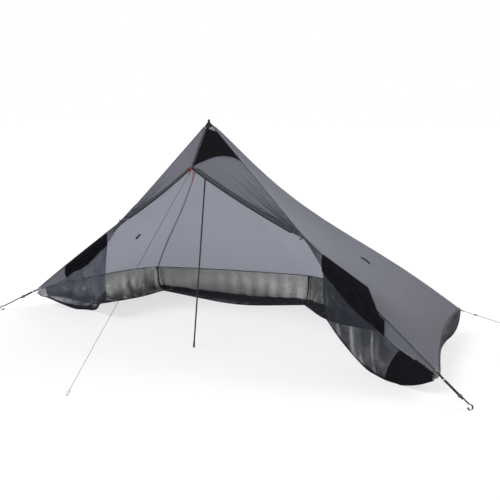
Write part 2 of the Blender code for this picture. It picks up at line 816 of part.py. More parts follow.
def curtain_point(side, along, depth):
    """A point a given depth below the ridge, on the door's strip or on the netting under it."""
    strip = np.linalg.norm(on_door(side, along, 1.0) - on_door(side, along, 0.0))
    if depth < 0:
        return on_door(side, along, 0.0) - UP * depth
    if depth <= strip or along < NETTING_FIRST:
        return on_door(side, along, depth / strip)
    net = door_netting_grid(side)
    drop = np.linalg.norm(on_grid(net, NET_ROWS, DOOR_NET_STEPS, along, 1.0) - on_door(side, along, 1.0))
    return on_grid(net, NET_ROWS, DOOR_NET_STEPS, along, (depth - strip) / drop)


def build_roll(name, side):
    """The rolled-up part of a door, on the front of its strip. The right one bulges up over the ridge."""
    behind, before = [], []
    for along in [row for row in NET_ROWS if row < ROLL_LAST] + [ROLL_LAST]:
        share = (along - NETTING_FIRST) / (ROLL_LAST - NETTING_FIRST)
        fullness = math.sin(math.pi * mix(0.08, 0.92, share)) ** 0.6
        strip = np.linalg.norm(on_door(side, along, 1.0) - on_door(side, along, 0.0))
        falling = min(1.0, max(0.0, (ROLL_FALL - share) / (ROLL_FALL - ROLL_PEAK)))
        top = ROLL_TOP - mix(*ROLL_RISE[side], min(1.0, share / ROLL_PEAK)) * falling
        foot = max(ROLL_WIDTH * fullness, strip + ROLL_TOP)
        back_line, front_line = [], []
        for depth in (top, mix(top, strip, 0.35), mix(top, strip, 0.7), strip, mix(strip, foot, 0.6), foot):
            room = CLOTH / 2 + ROLL_CLEARANCE + (SEAM_RADIUS if depth < 2 * ROLL_TOP else 0.0)
            place = curtain_point(side, along, depth) - BACKWARD * room
            across = (depth - top) / (foot - top)
            swell = ROLL_THICKNESS * fullness * math.sin(math.pi * mix(0.06, 0.94, across)) ** 0.7
            back_line.append(place)
            front_line.append(place - BACKWARD * swell)
        behind.append(back_line)
        before.append(front_line)
    slab(f"{name}_door_roll", np.array(before), np.array(behind), "mesh_net")


# The peak: a sewn cap over a cup that takes the pole's tip, and a loop on top


def peak_directions():
    ends = [BEAK, front_corner(RIGHT), rear_corner(RIGHT), rear_corner(LEFT), front_corner(LEFT)]
    return [unit(end - PEAK) for end in ends]


def peak_ring(lowered, reach):
    return [PEAK - UP * lowered + direction * reach for direction in peak_directions()]


def build_peak():
    rim = CAP_REACH - GAP
    rings = [peak_ring(CAP_WALL, 0.006), peak_ring(CAP_WALL, rim - CAP_WALL), peak_ring(0.0, rim)]
    rings.append(peak_ring(0.0, 0.003))
    loft("peak_cap", rings, "black_cloth")
    lowered = CAP_WALL + 2 * GAP
    cup = loft("peak_cup", [peak_ring(lowered, CUP_TOP), peak_ring(lowered, CUP_REACH)], "black_plastic")
    narrow = TIP_RADIUS + GAP
    wide = narrow + CUP_REACH * math.tan(math.radians(POLE_SWING + 1))
    profile = [(POLE_LENGTH - CUP_REACH, wide), (POLE_LENGTH + 1.5 * GAP, narrow)]
    cut(cup, turned("cup_bore", np.zeros(3), POLE_AXIS, profile, 20, "black_plastic"))
    slope = np.array([0.78, 0.0, -0.625])
    above = np.array([0.625, 0.0, 0.78]) * (WEBBING / 2 + 1.5 * GAP)
    mirror = np.array([-1.0, 1.0, 1.0])
    right = [PEAK + slope * reach + above for reach in reversed(PEAK_LOOP_LEG)]
    left = [point * mirror + PEAK * (1 - mirror) for point in reversed(right)]
    top = PEAK + UP * (PEAK_LOOP_HEIGHT - PEAK_LOOP_RADIUS)
    bend = arc(top, ACROSS, UP, PEAK_LOOP_RADIUS, -30, 210, 8)
    ribbon("peak_loop", right + bend + left, BACKWARD, NARROW_WEBBING, WEBBING, "black_webbing")


# The pole: foot, flush sections on spigots, shock cord and tip


POLE_AXIS = unit(PEAK)
POLE_LENGTH = float(np.linalg.norm(PEAK)) - TIP_GAP
POLE_PIVOT = POLE_AXIS * POLE_LENGTH


def build_pole():
    sides = 14
    stem = POLE_BORE - GAP
    foot = turned_rings(
        np.zeros(3),
        POLE_AXIS,
        [
            (0.0, FOOT_FLAT_RADIUS),
            (FOOT_EDGE, mix(FOOT_FLAT_RADIUS, FOOT_RADIUS, 0.75)),
            (FOOT_LENGTH / 2, FOOT_RADIUS),
            (FOOT_LENGTH, POLE_RADIUS + FOOT_LIP),
            (FOOT_LENGTH, stem),
            (FOOT_LENGTH + PLUG_LENGTH, stem),
        ],
        sides,
    )
    foot[0] = [point - POLE_AXIS * point[2] / POLE_AXIS[2] for point in foot[0]]
    loft("pole_foot", foot, "foot_rubber", POLE_PIVOT)
    tip_shoulder = POLE_LENGTH - TIP_LENGTH
    first, last = FOOT_LENGTH + GAP, tip_shoulder - GAP
    long = (last - first) / POLE_SECTIONS
    hole, insert = SHOCK_CORD_RADIUS + GAP, SPIGOT_LENGTH / 2
    for k in range(POLE_SECTIONS):
        low, high = first + k * long, first + (k + 1) * long - GAP
        wall = [(low, POLE_BORE), (low, POLE_RADIUS), (high, POLE_RADIUS)]
        if k < POLE_SECTIONS - 1:
            wall += [(high, stem), (high + insert, stem), (high + insert, hole), (high - insert, hole)]
            wall.append((high - insert, POLE_BORE))
        else:
            wall.append((high, POLE_BORE))
        turned_shell(f"pole_section_{k + 1}", np.zeros(3), POLE_AXIS, wall, sides, "pole_tube", POLE_PIVOT)
    cord_ends = [FOOT_LENGTH + PLUG_LENGTH + GAP, tip_shoulder - PLUG_LENGTH - GAP]
    points = [POLE_AXIS * mix(*cord_ends, share) for share in np.linspace(0, 1, 5)]
    tube("pole_shock_cord", points, SHOCK_CORD_RADIUS, "black_cord", origin=POLE_PIVOT)
    profile = [
        (tip_shoulder - PLUG_LENGTH, stem),
        (tip_shoulder, stem),
        (tip_shoulder, POLE_RADIUS),
        (tip_shoulder + TIP_LENGTH / 6, POLE_RADIUS),
        (tip_shoulder + TIP_LENGTH / 4, TIP_RADIUS),
        (POLE_LENGTH - TIP_LENGTH / 12, TIP_RADIUS),
        (POLE_LENGTH, TIP_RADIUS * 0.55),
    ]
    turned("pole_tip", np.zeros(3), POLE_AXIS, profile, sides, "black_plastic", POLE_PIVOT)


# The zip: tapes, coils and slider, with a pull on each side


ZIP_DOWN = unit(BEAK - PEAK)
ZIP_OUT = np.cross(ZIP_DOWN, ACROSS)
ZIP_LENGTH = float(np.linalg.norm(BEAK - PEAK))
ZIP_LEVEL = -(CLOTH / 2 + GAP + TAPE / 2)
TAPE_UNDER = ZIP_ROW_OFFSET + TAPE_WIDTH - DOOR_EDGE
DOOR_SPAN = TOGGLE_SHARE * float(np.linalg.norm(front_corner(RIGHT) - PEAK))


def zip_point(distance, across, level):
    return PEAK + ZIP_DOWN * distance + ACROSS * across + ZIP_OUT * level


def open_edge_row(side, along):
    """Across an open zip edge: the coil, the door's edge, the tape's seam and the way out of the cloth."""
    bottom, top = on_door(side, along, 1.0), on_door(side, along, 0.0)
    out = door_normal(side, along, 1.0)
    under = min(DOOR_COLUMNS[1], TAPE_UNDER / np.linalg.norm(bottom - top))
    seam = on_door(side, along, 1 - under) + out * ZIP_LEVEL
    coil = bottom + unit(bottom - top) * (DOOR_EDGE - ZIP_ROW_OFFSET) + out * ZIP_LEVEL
    return coil, bottom + out * ZIP_LEVEL, seam, out


def closed_zip_row(side, distance):
    """Across the zip above the beak, at a distance from the peak."""
    down = (distance - CAP_REACH) / (ZIP_LENGTH - CAP_REACH)
    share = TAPE_UNDER / DOOR_SPAN
    seam = on_door(side, share, down) + ZIP_OUT * ZIP_LEVEL
    coil = zip_point(distance, side * ZIP_ROW_OFFSET, ZIP_LEVEL)
    return coil, zip_point(distance, side * DOOR_EDGE, ZIP_LEVEL), seam, ZIP_OUT


def zip_rows(side):
    rows = [closed_zip_row(side, distance) for distance in np.linspace(CAP_REACH + 2 * GAP, ZIP_LENGTH - 0.016, 6)]
    opened = [open_edge_row(side, along) for along in DOOR_ROWS[1:7] + (ZIP_END,)]
    corner = zip_point(ZIP_LENGTH, side * DOOR_EDGE, ZIP_LEVEL)
    turn = zip_point(ZIP_LENGTH + DOOR_EDGE - ZIP_ROW_OFFSET, side * ZIP_ROW_OFFSET, ZIP_LEVEL)
    start, end = closed_zip_row(side, ZIP_LENGTH - 0.006)[0], opened[0][0]
    seam = on_door(side, TAPE_UNDER / DOOR_SPAN, 0.965) + ZIP_OUT * ZIP_LEVEL
    for share in (0.0, 0.33, 0.67):
        coil = mix(mix(start, turn, share), mix(turn, end, share), share)
        rows.append((coil, corner, seam, ZIP_OUT))
    return rows + opened


def zip_tape(name, rows):
    """A tape with its coil fixed along one edge, as one solid."""
    rings = []
    for coil, edge, seam, out in rows:
        beside = edge - coil
        beside = unit(beside - out * (beside @ out))
        ring = arc(coil, beside, out, ZIP_ROW_RADIUS, 30, 330, 6)
        ring += [edge - out * TAPE / 2, seam - out * TAPE / 2, seam + out * TAPE / 2, edge + out * TAPE / 2]
        rings.append(ring)
    return loft(name, rings, "seam_tape")


def build_zip():
    for name, side in SIDES.items():
        zip_tape(f"{name}_zip_tape", zip_rows(side))
    build_slider()
    build_beak_webbing()


def block(name, centre, axes, size, finish, origin=(0.0, 0.0, 0.0)):
    """A plain block, used where solids are joined into one."""
    half = [axis * length / 2 for axis, length in zip(axes, size)]
    rings = []
    for end in (-1, 1):
        middle = centre + half[2] * end
        rings.append([middle + half[0] * a + half[1] * b for a, b in ((-1, -1), (1, -1), (1, 1), (-1, 1))])
    return loft(name, rings, finish, origin)


def unite(item, parts):
    for part in parts:
        part.hide_render = True
        part.display_type = "WIRE"
        modifier = item.modifiers.new(part.name, "BOOLEAN")
        modifier.operation = "UNION"
        modifier.solver = "EXACT"
        modifier.object = part


SLIDER_ROOM = ZIP_ROW_RADIUS + GAP
BRIDGE_RADIUS = 2 * GAP + PULL_CORD_RADIUS * 2 + BRIDGE_STRIP / 2


def slider_hinge(outwards):
    """The middle of the cord's hole in the bridge on one face of the slider."""
    level = SLIDER_ROOM + SLIDER_PLATE + PULL_CORD_RADIUS + GAP * 0.75
    return zip_point(ZIP_LENGTH - SLIDER_REST, 0.0, ZIP_LEVEL + outwards * level)


def build_slider():
    axes = (ACROSS, ZIP_OUT, ZIP_DOWN)
    centre = zip_point(ZIP_LENGTH - SLIDER_REST, 0.0, ZIP_LEVEL)
    parts = []
    for outwards in (1, -1):
        middle = centre + ZIP_OUT * outwards * (SLIDER_ROOM + SLIDER_PLATE / 2)
        size = (SLIDER_WIDTH, SLIDER_PLATE, SLIDER_LENGTH)
        parts.append(block(f"plate_{outwards}", middle, axes, size, "zip_metal", centre))
        for side in (LEFT, RIGHT):
            lip_height = SLIDER_ROOM - TAPE / 2 - GAP
            middle = centre + ZIP_OUT * outwards * (SLIDER_ROOM - (lip_height - SLIDER_OVERLAP) / 2)
            middle = middle + ACROSS * side * (SLIDER_WIDTH - SLIDER_LIP) / 2
            size = (SLIDER_LIP, lip_height + SLIDER_OVERLAP, SLIDER_LENGTH * 0.9)
            parts.append(block(f"lip_{outwards}_{side}", middle, axes, size, "zip_metal"))
        root = centre + ZIP_OUT * outwards * (SLIDER_ROOM + SLIDER_PLATE - SLIDER_OVERLAP)
        bend = arc(root, ZIP_DOWN, ZIP_OUT * outwards, BRIDGE_RADIUS, 0, 180, 8)
        parts.append(ribbon(f"bridge_{outwards}", bend, ACROSS, BRIDGE_WIDTH, BRIDGE_STRIP, "zip_metal"))
    post = centre + ZIP_DOWN * (SLIDER_LENGTH - DIVIDER_LENGTH - SLIDER_OVERLAP) / 2
    width = 2 * (ZIP_ROW_OFFSET - ZIP_ROW_RADIUS - GAP)
    size = (width, 2 * SLIDER_ROOM + SLIDER_PLATE, DIVIDER_LENGTH)
    parts.append(block("divider", post, axes, size, "zip_metal"))
    body = parts.pop(0)
    body.name = "zip_slider"
    unite(body, parts)
    down_from_cloth = unit(ZIP_DOWN * math.cos(math.radians(9)) + ZIP_OUT * math.sin(math.radians(9)))
    build_pull("outer_zip_pull", slider_hinge(1), down_from_cloth, OUTER_PULL_LENGTH)
    build_pull("inner_zip_pull", slider_hinge(-1), -UP, INNER_PULL_LENGTH)


def build_pull(name, hinge, down, length):
    """A closed loop of cord through the slider's bridge."""
    half, turn = ACROSS * PULL_HALF_WIDTH, down * PULL_TURN
    points = [hinge - half, hinge + half]
    points += arc(hinge + half + turn, ACROSS, -down, PULL_TURN, 60, 0, 2)
    points += arc(hinge + down * (length - PULL_END_RADIUS), ACROSS, -down, PULL_END_RADIUS, 0, -180, 6)
    points += arc(hinge - half + turn, -ACROSS, -down, PULL_TURN, 0, 60, 2)
    tube(name, points, PULL_CORD_RADIUS, "red_cord", cyclic=True, origin=hinge)


def build_beak_webbing():
    """A V of webbing over the doors' lowest closed point, which the front guyline pulls on."""
    level = CLOTH / 2 + 2 * GAP + WEBBING / 2
    arms = {}
    for side in (LEFT, RIGHT):
        arms[side] = []
        for along in (0.0, 0.02, 0.05, 0.07):
            top, bottom = on_door(side, along, 0.0), on_door(side, along, 1.0)
            out = (door_normal(side, along, 0.98) if along else ZIP_OUT) * level
            high = on_door(side, along, 1 - BEAK_ARM_WIDTH / np.linalg.norm(bottom - top))
            arms[side].append([high + out, bottom + unit(bottom - top) * BEAK_ARM_LIP + out])
    for side in (LEFT, RIGHT):
        aside = side * BEAK_BAND_HALF_WIDTH
        arms[side].insert(0, [zip_point(ZIP_LENGTH + reach, aside, level) for reach in BEAK_BAND])
    cloth("beak_webbing", arms[LEFT][::-1] + arms[RIGHT], WEBBING, "black_webbing", OUT_OF_DOOR)


# Toggles that hold the doors back


def toggle_place(side):
    """The middle of the door's gathered neck, the way along the ridge and the way forward."""
    along_ridge = unit(front_ridge(side, TOGGLE_SHARE + 0.01) - front_ridge(side, TOGGLE_SHARE - 0.01))
    forward = unit(np.cross(along_ridge, UP) * side * -1)
    if forward[1] > 0:
        forward = -forward
    middle = front_ridge(side, TOGGLE_SHARE) - UP * (NECK_DEPTH / 2 + SEAM_RADIUS / 2)
    return middle, along_ridge, forward


def build_toggles():
    for name, side in SIDES.items():
        middle, along_ridge, forward = toggle_place(side)
        below = unit(np.cross(along_ridge, forward))
        if below[2] > 0:
            below = -below
        front = TOGGLE_LOOP_RADIUS + TOGGLE_SEAT
        behind = middle - forward * TOGGLE_LOOP_REACH
        panel = functools.partial(on_end_panel, side)
        out = normal_to(panel, TOGGLE_SHARE, 0.02, out_of_end(side))
        room = (panel(TOGGLE_SHARE, 0.02) - behind) @ out - (CLOTH / 2 + TOGGLE_CORD_RADIUS)
        loop = [behind - below * room / (-below @ out)]
        loop += arc(middle, -forward, below, TOGGLE_LOOP_RADIUS, 0, 180, 8)
        loop.append(middle + forward * front - below * (TOGGLE_GROOVE - TOGGLE_CORD_RADIUS))
        tube(f"{name}_toggle_loop", loop, TOGGLE_CORD_RADIUS, "black_cord")
        centre = middle + forward * (front + TOGGLE_CORD_RADIUS + GAP + TOGGLE_WAIST)
        half = TOGGLE_LENGTH / 2
        edge, flank = half - TOGGLE_WAIST * 0.75, TOGGLE_GROOVE + TOGGLE_CORD_RADIUS
        ends = [(half, TOGGLE_WAIST), (edge, TOGGLE_RADIUS), (flank, TOGGLE_RADIUS)]
        profile = [(-reach, radius) for reach, radius in ends + [(TOGGLE_GROOVE, TOGGLE_WAIST)]]
        profile += [(-reach, radius) for reach, radius in reversed(profile)]
        turned(f"{name}_door_toggle", centre, below, profile, 10, "black_plastic", centre)


# Pull-out loops in the middle of each end panel


def build_pull_outs():
    for name, side in SIDES.items():
        down, across = PULL_OUT_PLACE[side]
        surface = functools.partial(on_end_panel, side)
        normal = normal_to(surface, down, across, UP)
        metre = 1 / np.linalg.norm(surface(down + 0.5, across) - surface(down - 0.5, across))
        low = CLOTH / 2 + GAP + WEBBING / 2
        half = PULL_OUT_LENGTH / 2
        rise = PULL_OUT_RISE
        places = [(-half, low), (-half * 0.55, low), (-half * 0.35, low + rise * 0.6), (0, low + rise)]
        places += [(-reach, level) for reach, level in reversed(places[:-1])]
        outer = [surface(down + reach * metre, across) + normal * level for reach, level in places]
        width_axis = unit(np.cross(normal, outer[-1] - outer[0]))
        ribbon(f"{name}_pull_out", outer, width_axis, NARROW_WEBBING, WEBBING, "black_webbing")


# Corner tabs, rings, straps and guylines


def surface_normal(surface, down, across):
    step = 0.02
    first = surface(down, across) - surface(down - step, across)
    second = surface(down - step, across + step) - surface(down - step, across - step)
    normal = unit(np.cross(first, second))
    return normal if normal[2] > 0 else -normal


def corner_axes(normal, away):
    """The way out along the cloth, the way across and the cloth's own normal."""
    out = unit(away - normal * (away @ normal))
    return out, np.cross(normal, out), normal


FRONT_TAB_LEVEL = CLOTH / 2 + GAP + WEBBING / 2
REAR_TAB_LEVEL = HEM_RADIUS + GAP + WEBBING / 2


def tab_path(corner, axes, level):
    """From a tab's end on the outside of the cloth, round its bar and back to the cloth's inner side."""
    out, across, normal = axes
    bar = corner + out * TAB_OUT
    near = corner + out * TAB_FLAT
    path = [corner - out * TAB_LEG + normal * level, near + normal * level]
    path += arc(bar, out, normal, RING_WIRE + GAP + WEBBING / 2, 80, -80, 8)
    path.append(near - normal * level)
    return path, bar


def ring_path(bar, across, away):
    """A rectangular wire ring with round corners, hanging from the tab's bar."""
    half, turn = WEBBING_WIDTH / 2 + RING_WIRE + 2 * GAP, RING_TURN
    points = []
    for x, y, start in ((half, 0.0, 270), (half, RING_LENGTH, 0), (-half, RING_LENGTH, 90), (-half, 0.0, 180)):
        centre = bar + across * (x - math.copysign(turn, x)) + away * (turn if y == 0.0 else y - turn)
        points += arc(centre, across, away, turn, start, start + 90, 2)
    return points


def strap_path(ring_bar, away, normal, doubled):
    """From the strap's end, over the ring's lower bar and down to a loop for a stake that stands on the ground."""
    radius = RING_WIRE + GAP + WEBBING / 2
    inner = ring_bar + away * doubled - normal * radius
    path = [inner, mix(inner, ring_bar - normal * radius, 0.5)]
    path += arc(ring_bar, -away, normal, radius, -80, 80, 8)
    to_centre = away * STAKE_LOOP_RADIUS + normal * (radius - STAKE_LOOP_RADIUS * 0.55)
    tilt = abs(np.cross(away, normal)[2])
    resting = STAKE_LOOP_RADIUS + WEBBING + tilt * WEBBING_WIDTH / 2 + GROUND_GAP
    far = ring_bar + away * (ring_bar[2] + to_centre[2] - resting) / -away[2] + normal * radius
    path += [ring_bar + away * doubled + normal * radius, far]
    centre = far + away * STAKE_LOOP_RADIUS - normal * STAKE_LOOP_RADIUS * 0.55
    path += arc(centre, -away, normal, STAKE_LOOP_RADIUS, 50, 310, 12)
    return path


def build_strap_slider(name, centre, away, across, normal):
    """An adjuster: a rounded frame with a window that the doubled strap runs through."""
    width = WEBBING_WIDTH / 2 + 2 * GAP
    height = RING_WIRE + WEBBING + 3 * GAP
    half = SLIDER_BODY / 2
    corners = ((-1, -1), (1, -1), (1, 1), (-1, 1))
    rings = []
    for reach, grow in ((-half, 0.4), (-half * 0.7, 1.0), (half * 0.7, 1.0), (half, 0.4), (half, 0.0), (-half, 0.0)):
        wide, high = width + SLIDER_WALL * grow, height + SLIDER_WALL * grow
        rings.append([centre + away * reach + across * x * wide + normal * y * high for x, y in corners])
    return ring_solid(name, rings, "black_plastic", centre)


def ground_point(corner, reach):
    return np.array([corner[0] + reach[0], corner[1] + reach[1], 0.0])


def front_corner_of_cloth(side):
    """The front corner set down on the end panel's last flat, and the way out of that flat."""
    grid = end_panel_grid(side)
    above, at, beside = grid[-2][0], grid[-1][0], grid[-1][1]
    normal = unit(np.cross(at - above, beside - at))
    normal = normal if normal @ out_of_end(side) > 0 else -normal
    corner = front_corner(side)
    return corner - normal * ((corner - at) @ normal), normal


def build_front_corners():
    for name, side in SIDES.items():
        corner, normal = front_corner_of_cloth(side)
        stake = ground_point(front_corner(side), STRAP_REACH[side])
        away = unit(stake - corner)
        axes = corner_axes(normal, away)
        path, bar = tab_path(corner, axes, FRONT_TAB_LEVEL)
        path.append(corner - axes[0] * TAB_LEG - normal * FRONT_TAB_LEVEL)
        ribbon(f"{name}_corner_tab", path, axes[1], WEBBING_WIDTH, WEBBING, "black_webbing")
        tube(f"{name}_corner_ring", ring_path(bar, axes[1], away), RING_WIRE, "ring_steel", cyclic=True)
        strap_normal = unit(np.cross(axes[1], away))
        strap_normal = strap_normal if strap_normal[2] > 0 else -strap_normal
        lower_bar = bar + away * RING_LENGTH
        at = STRAP_SLIDER_AT[side]
        path = strap_path(lower_bar, away, strap_normal, at + STRAP_TAIL)
        ribbon(f"{name}_strap", path, axes[1], WEBBING_WIDTH, WEBBING, "black_webbing")
        build_strap_slider(f"{name}_strap_slider", lower_bar + away * at, away, axes[1], strap_normal)


def stake_eye(stake, along, radius):
    """An eye for a stake at the end of a guyline and in line with it, whose far end is on the ground."""
    aside = unit(np.cross(UP, along))
    centre = stake + UP * (radius + GROUND_GAP) - along * EYE_RADIUS
    length, shoulder, beside = STAKE_EYE_LENGTH, EYE_RADIUS * 0.86, radius + GAP
    return [
        centre - along * length - aside * beside,
        centre - along * length * 0.60 - aside * beside * 1.4,
        centre - along * shoulder - aside * EYE_RADIUS,
        centre + along * EYE_RADIUS,
        centre - along * shoulder + aside * EYE_RADIUS,
        centre - along * length * 0.65 + aside * beside * 1.4,
    ]


def guyline_points(eye, stake_end):
    """A cord through its upper eye, along its taut run and round its stake eye."""
    eye = list(curve_through(eye, EYE_POINTS))
    run = [mix(eye[-1], stake_end[0], share) for share in np.linspace(0.03, 0.97, RUN_POINTS)]
    return eye + run + list(curve_through(stake_end, STAKE_EYE_POINTS))


def tab_guyline(bar, across, stake, radius, tab_half):
    """The points of a guyline that is looped through a tab."""
    away = unit(stake - bar)
    length, spread, beside = TAB_EYE_LENGTH, tab_half + radius + 4 * GAP, radius + GAP
    half = [(length, beside), (length * 0.54, spread * 0.75), (length * 0.23, spread), (length * 0.03, spread * 0.72)]
    eye = [bar + away * reach + across * wide for reach, wide in half]
    eye.append(bar)
    eye += [bar + away * reach - across * wide for reach, wide in reversed(half)]
    return guyline_points(eye, stake_eye(stake, away, radius))


def beak_guyline(band, half_band):
    """The points of the front guyline, which is looped round the beak's webbing."""
    room = WEBBING / 2 + FRONT_LINE_RADIUS + GAP
    reach = half_band + FRONT_LINE_RADIUS + 4 * GAP
    beside = FRONT_LINE_RADIUS + GAP
    half = [
        (TAB_EYE_LENGTH, BEAK_EYE_OUT),
        (TAB_EYE_LENGTH * 0.38, room + 3.5 * GAP),
        (0.0, room + 1.5 * GAP),
        (-reach * 0.8, room * 0.75),
        (-reach - GAP, 0.0),
    ]
    outside = [band + ZIP_DOWN * down + ZIP_OUT * out for down, out in half]
    inside = [band + ZIP_DOWN * down - ZIP_OUT * out for down, out in half[1:-1]]
    inside.insert(0, band + ZIP_DOWN * TAB_EYE_LENGTH + ZIP_OUT * (BEAK_EYE_OUT - 2 * beside))
    away = unit(FRONT_STAKE - outside[0])
    return guyline_points(inside + outside[::-1], stake_eye(FRONT_STAKE, away, FRONT_LINE_RADIUS))


def build_line(name, bar, across, stake, at):
    """A guyline on a tab, with the tensioner that slides on it."""
    points = tab_guyline(bar, across, stake, GUYLINE_RADIUS, NARROW_WEBBING / 2)
    tube(f"{name}_guyline", points, GUYLINE_RADIUS, "black_cord")
    start, end = points[EYE_POINTS], points[EYE_POINTS + RUN_POINTS - 1]
    along = unit(end - start)
    hole = GUYLINE_RADIUS + GAP
    half = TENSIONER_LENGTH / 2
    profile = [
        (-half, hole),
        (-half, TENSIONER_RADIUS * 0.75),
        (-half + TENSIONER_EDGE, TENSIONER_RADIUS),
        (half - TENSIONER_EDGE, TENSIONER_RADIUS),
        (half, TENSIONER_RADIUS * 0.75),
        (half, hole),
    ]
    centre = start + along * at
    turned_shell(f"{name}_tensioner", centre, along, profile, 12, "black_plastic", centre)


def build_rear_tab(name, corner, axes, spread):
    """A tab that goes on, inside the netting, as a strap down to the ground."""
    out, across, normal = axes
    path, bar = tab_path(corner, axes, REAR_TAB_LEVEL)
    inward = inward_from(corner) * spread
    drop = [hanging_point(corner, inward, down, WEBBING) for down in np.linspace(0.05, DROP_LENGTH, 9)]
    level_across = unit(np.cross(UP, inward))
    if level_across @ across < 0:
        level_across = -level_across
    widths = [across] * len(path) + [level_across] * len(drop)
    ribbon(f"{name}_tab", path + drop, np.array(widths), NARROW_WEBBING, WEBBING, "black_webbing")
    return bar


def build_guylines():
    for name, side in SIDES.items():
        corner = rear_corner(side)
        stake = ground_point(corner, REAR_LINE_REACH[side])
        ends = surface_normal(lambda down, across: end_panel_point(side, down, across), 1.0, 0.96)
        backs = surface_normal(back_panel_point, 1.0, 0.03 if side == LEFT else 0.97)
        axes = corner_axes(unit(ends + backs), unit(stake - corner))
        bar = build_rear_tab(f"{name}_rear", corner, axes, CORNER_SPREAD)
        build_line(f"{name}_rear", bar, axes[1], stake, REAR_TENSIONER_AT[side])
    stake = ground_point(BACK_CENTRE, BACK_LINE_REACH)
    axes = corner_axes(surface_normal(back_panel_point, 1.0, 0.5), unit(stake - BACK_CENTRE))
    bar = build_rear_tab("back_centre", BACK_CENTRE, axes, CENTRE_SPREAD)
    build_line("back", bar, axes[1], stake, BACK_TENSIONER_AT)
    band = zip_point(ZIP_LENGTH + sum(BEAK_BAND) / 2, 0.0, CLOTH / 2 + GAP + WEBBING / 2)
    half_band = (BEAK_BAND[1] - BEAK_BAND[0]) / 2
    tube("front_guyline", beak_guyline(band, half_band), FRONT_LINE_RADIUS, "black_cord")


def main():
    for item in list(bpy.data.objects):
        bpy.data.objects.remove(item)
    build_canopy()
    build_doors()
    build_netting()
    build_peak()
    build_pole()
    build_zip()
    build_toggles()
    build_pull_outs()
    build_front_corners()
    build_guylines()


main()
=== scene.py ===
# %% [markdown]
# # A one-person camping tarp
# The real object is thin coated cloth, pitched on a single pole and held down by cords and straps. Its rigid pieces
# are small, so nearly all of its look comes from cloth: where it is stretched, where it folds and how light comes
# through it. The frame already holds every piece at its real size, and this script dresses it.

# %% Load the frame
import json
import math

import bpy
import numpy as np
from mathutils import Euler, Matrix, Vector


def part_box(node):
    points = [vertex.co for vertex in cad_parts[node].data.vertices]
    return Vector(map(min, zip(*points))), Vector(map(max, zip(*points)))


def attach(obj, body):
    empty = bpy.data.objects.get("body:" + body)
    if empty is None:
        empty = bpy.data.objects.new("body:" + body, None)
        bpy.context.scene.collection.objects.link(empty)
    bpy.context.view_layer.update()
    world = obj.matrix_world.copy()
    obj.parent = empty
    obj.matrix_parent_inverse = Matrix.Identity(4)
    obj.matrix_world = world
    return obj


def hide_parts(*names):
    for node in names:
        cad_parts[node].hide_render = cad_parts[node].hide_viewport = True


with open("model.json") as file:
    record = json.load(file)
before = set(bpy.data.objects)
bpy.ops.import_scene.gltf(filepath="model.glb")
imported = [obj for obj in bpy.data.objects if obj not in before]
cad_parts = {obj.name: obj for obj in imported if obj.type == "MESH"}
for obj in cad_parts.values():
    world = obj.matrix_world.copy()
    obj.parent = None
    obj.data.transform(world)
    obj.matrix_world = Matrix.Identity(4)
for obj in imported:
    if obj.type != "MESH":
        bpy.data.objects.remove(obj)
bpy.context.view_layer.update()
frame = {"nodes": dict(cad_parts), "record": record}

NODES = frame["nodes"]

# %% [markdown]
# ## The camera
# A camera is a place, two turns and a lens. The turns are a swing round the vertical and a tilt down, and the lens
# is set against a sensor 36 mm wide, so that the tarp fills the frame as it does when seen from its front right.

# %% Place the camera
CAMERA_PLACE = (2.697, -3.166, 1.32)
CAMERA_YAW = 36.081
CAMERA_PITCH = -10.443
CAMERA_LENS = 55.4

camera_data = bpy.data.cameras.new("camera")
camera_data.lens = CAMERA_LENS
camera_data.sensor_width = 36.0
camera = bpy.data.objects.new("camera", camera_data)
camera.location = CAMERA_PLACE
camera.rotation_euler = Euler((math.radians(90 + CAMERA_PITCH), 0.0, math.radians(CAMERA_YAW)))
bpy.context.scene.collection.objects.link(camera)
bpy.context.scene.camera = camera
print("camera at", CAMERA_PLACE, "lens", CAMERA_LENS)

# %% [markdown]
# ## The pitch
# Every piece of cloth hangs from a few held points: the peak, four corners, the back centre and the lowest closed
# point of the zip. These are the same places as in the frame, so the cloth made below lies where the frame's does.

# %% Held points and sizes
LEFT, RIGHT = -1, 1
SIDES = {"left": LEFT, "right": RIGHT}
UP = np.array([0.0, 0.0, 1.0])
ACROSS = np.array([1.0, 0.0, 0.0])
BACKWARD = np.array([0.0, 1.0, 0.0])
PEAK = np.array([0.0, 0.153, 1.245])
BEAK = np.array([0.0, 0.001, 0.999])
BACK_CENTRE = np.array([0.0, 1.213, 0.196])
FRONT_CORNER = {RIGHT: np.array([1.428, 0.054, 0.117]), LEFT: np.array([-1.428, 0.054, 0.117])}
REAR_CORNER = {RIGHT: np.array([1.165, 0.967, 0.195]), LEFT: np.array([-1.165, 0.967, 0.158])}
FRONT_STAKE = np.array([0.0, -0.918, 0.0])
FLOOR_MIDDLE = np.array([0.0, 0.35, 0.0])

CAP_REACH = 0.038
TOGGLE_SHARE = 0.44
TOGGLE_DIP = {RIGHT: 0.046, LEFT: 0.074}
FRONT_RIDGE_SAG = 0.008
REAR_RIDGE_SAG = 0.072
HEM_SCALLOP = 0.052
BACK_SCALLOP = 0.012
PANEL_HOLLOW = 0.030
FREE_EDGE_SAG = 0.014
DOOR_SWELL = 0.010
DOOR_EDGE = 0.0070
STRIP_DEPTH = 0.078
NECK_DEPTH = 0.014
NETTING_BELLY = 0.012
NETTING_SPREAD = 0.150
GAP = 0.0004
print("front width", 2 * FRONT_CORNER[RIGHT][0], "peak height", PEAK[2])


# %% Small vector helpers
def unit(vector):
    return vector / np.linalg.norm(vector)


def mix(start, end, share):
    return start + (end - start) * share


def smooth_step(share):
    share = np.clip(share, 0.0, 1.0)
    return share * share * (3 - 2 * share)


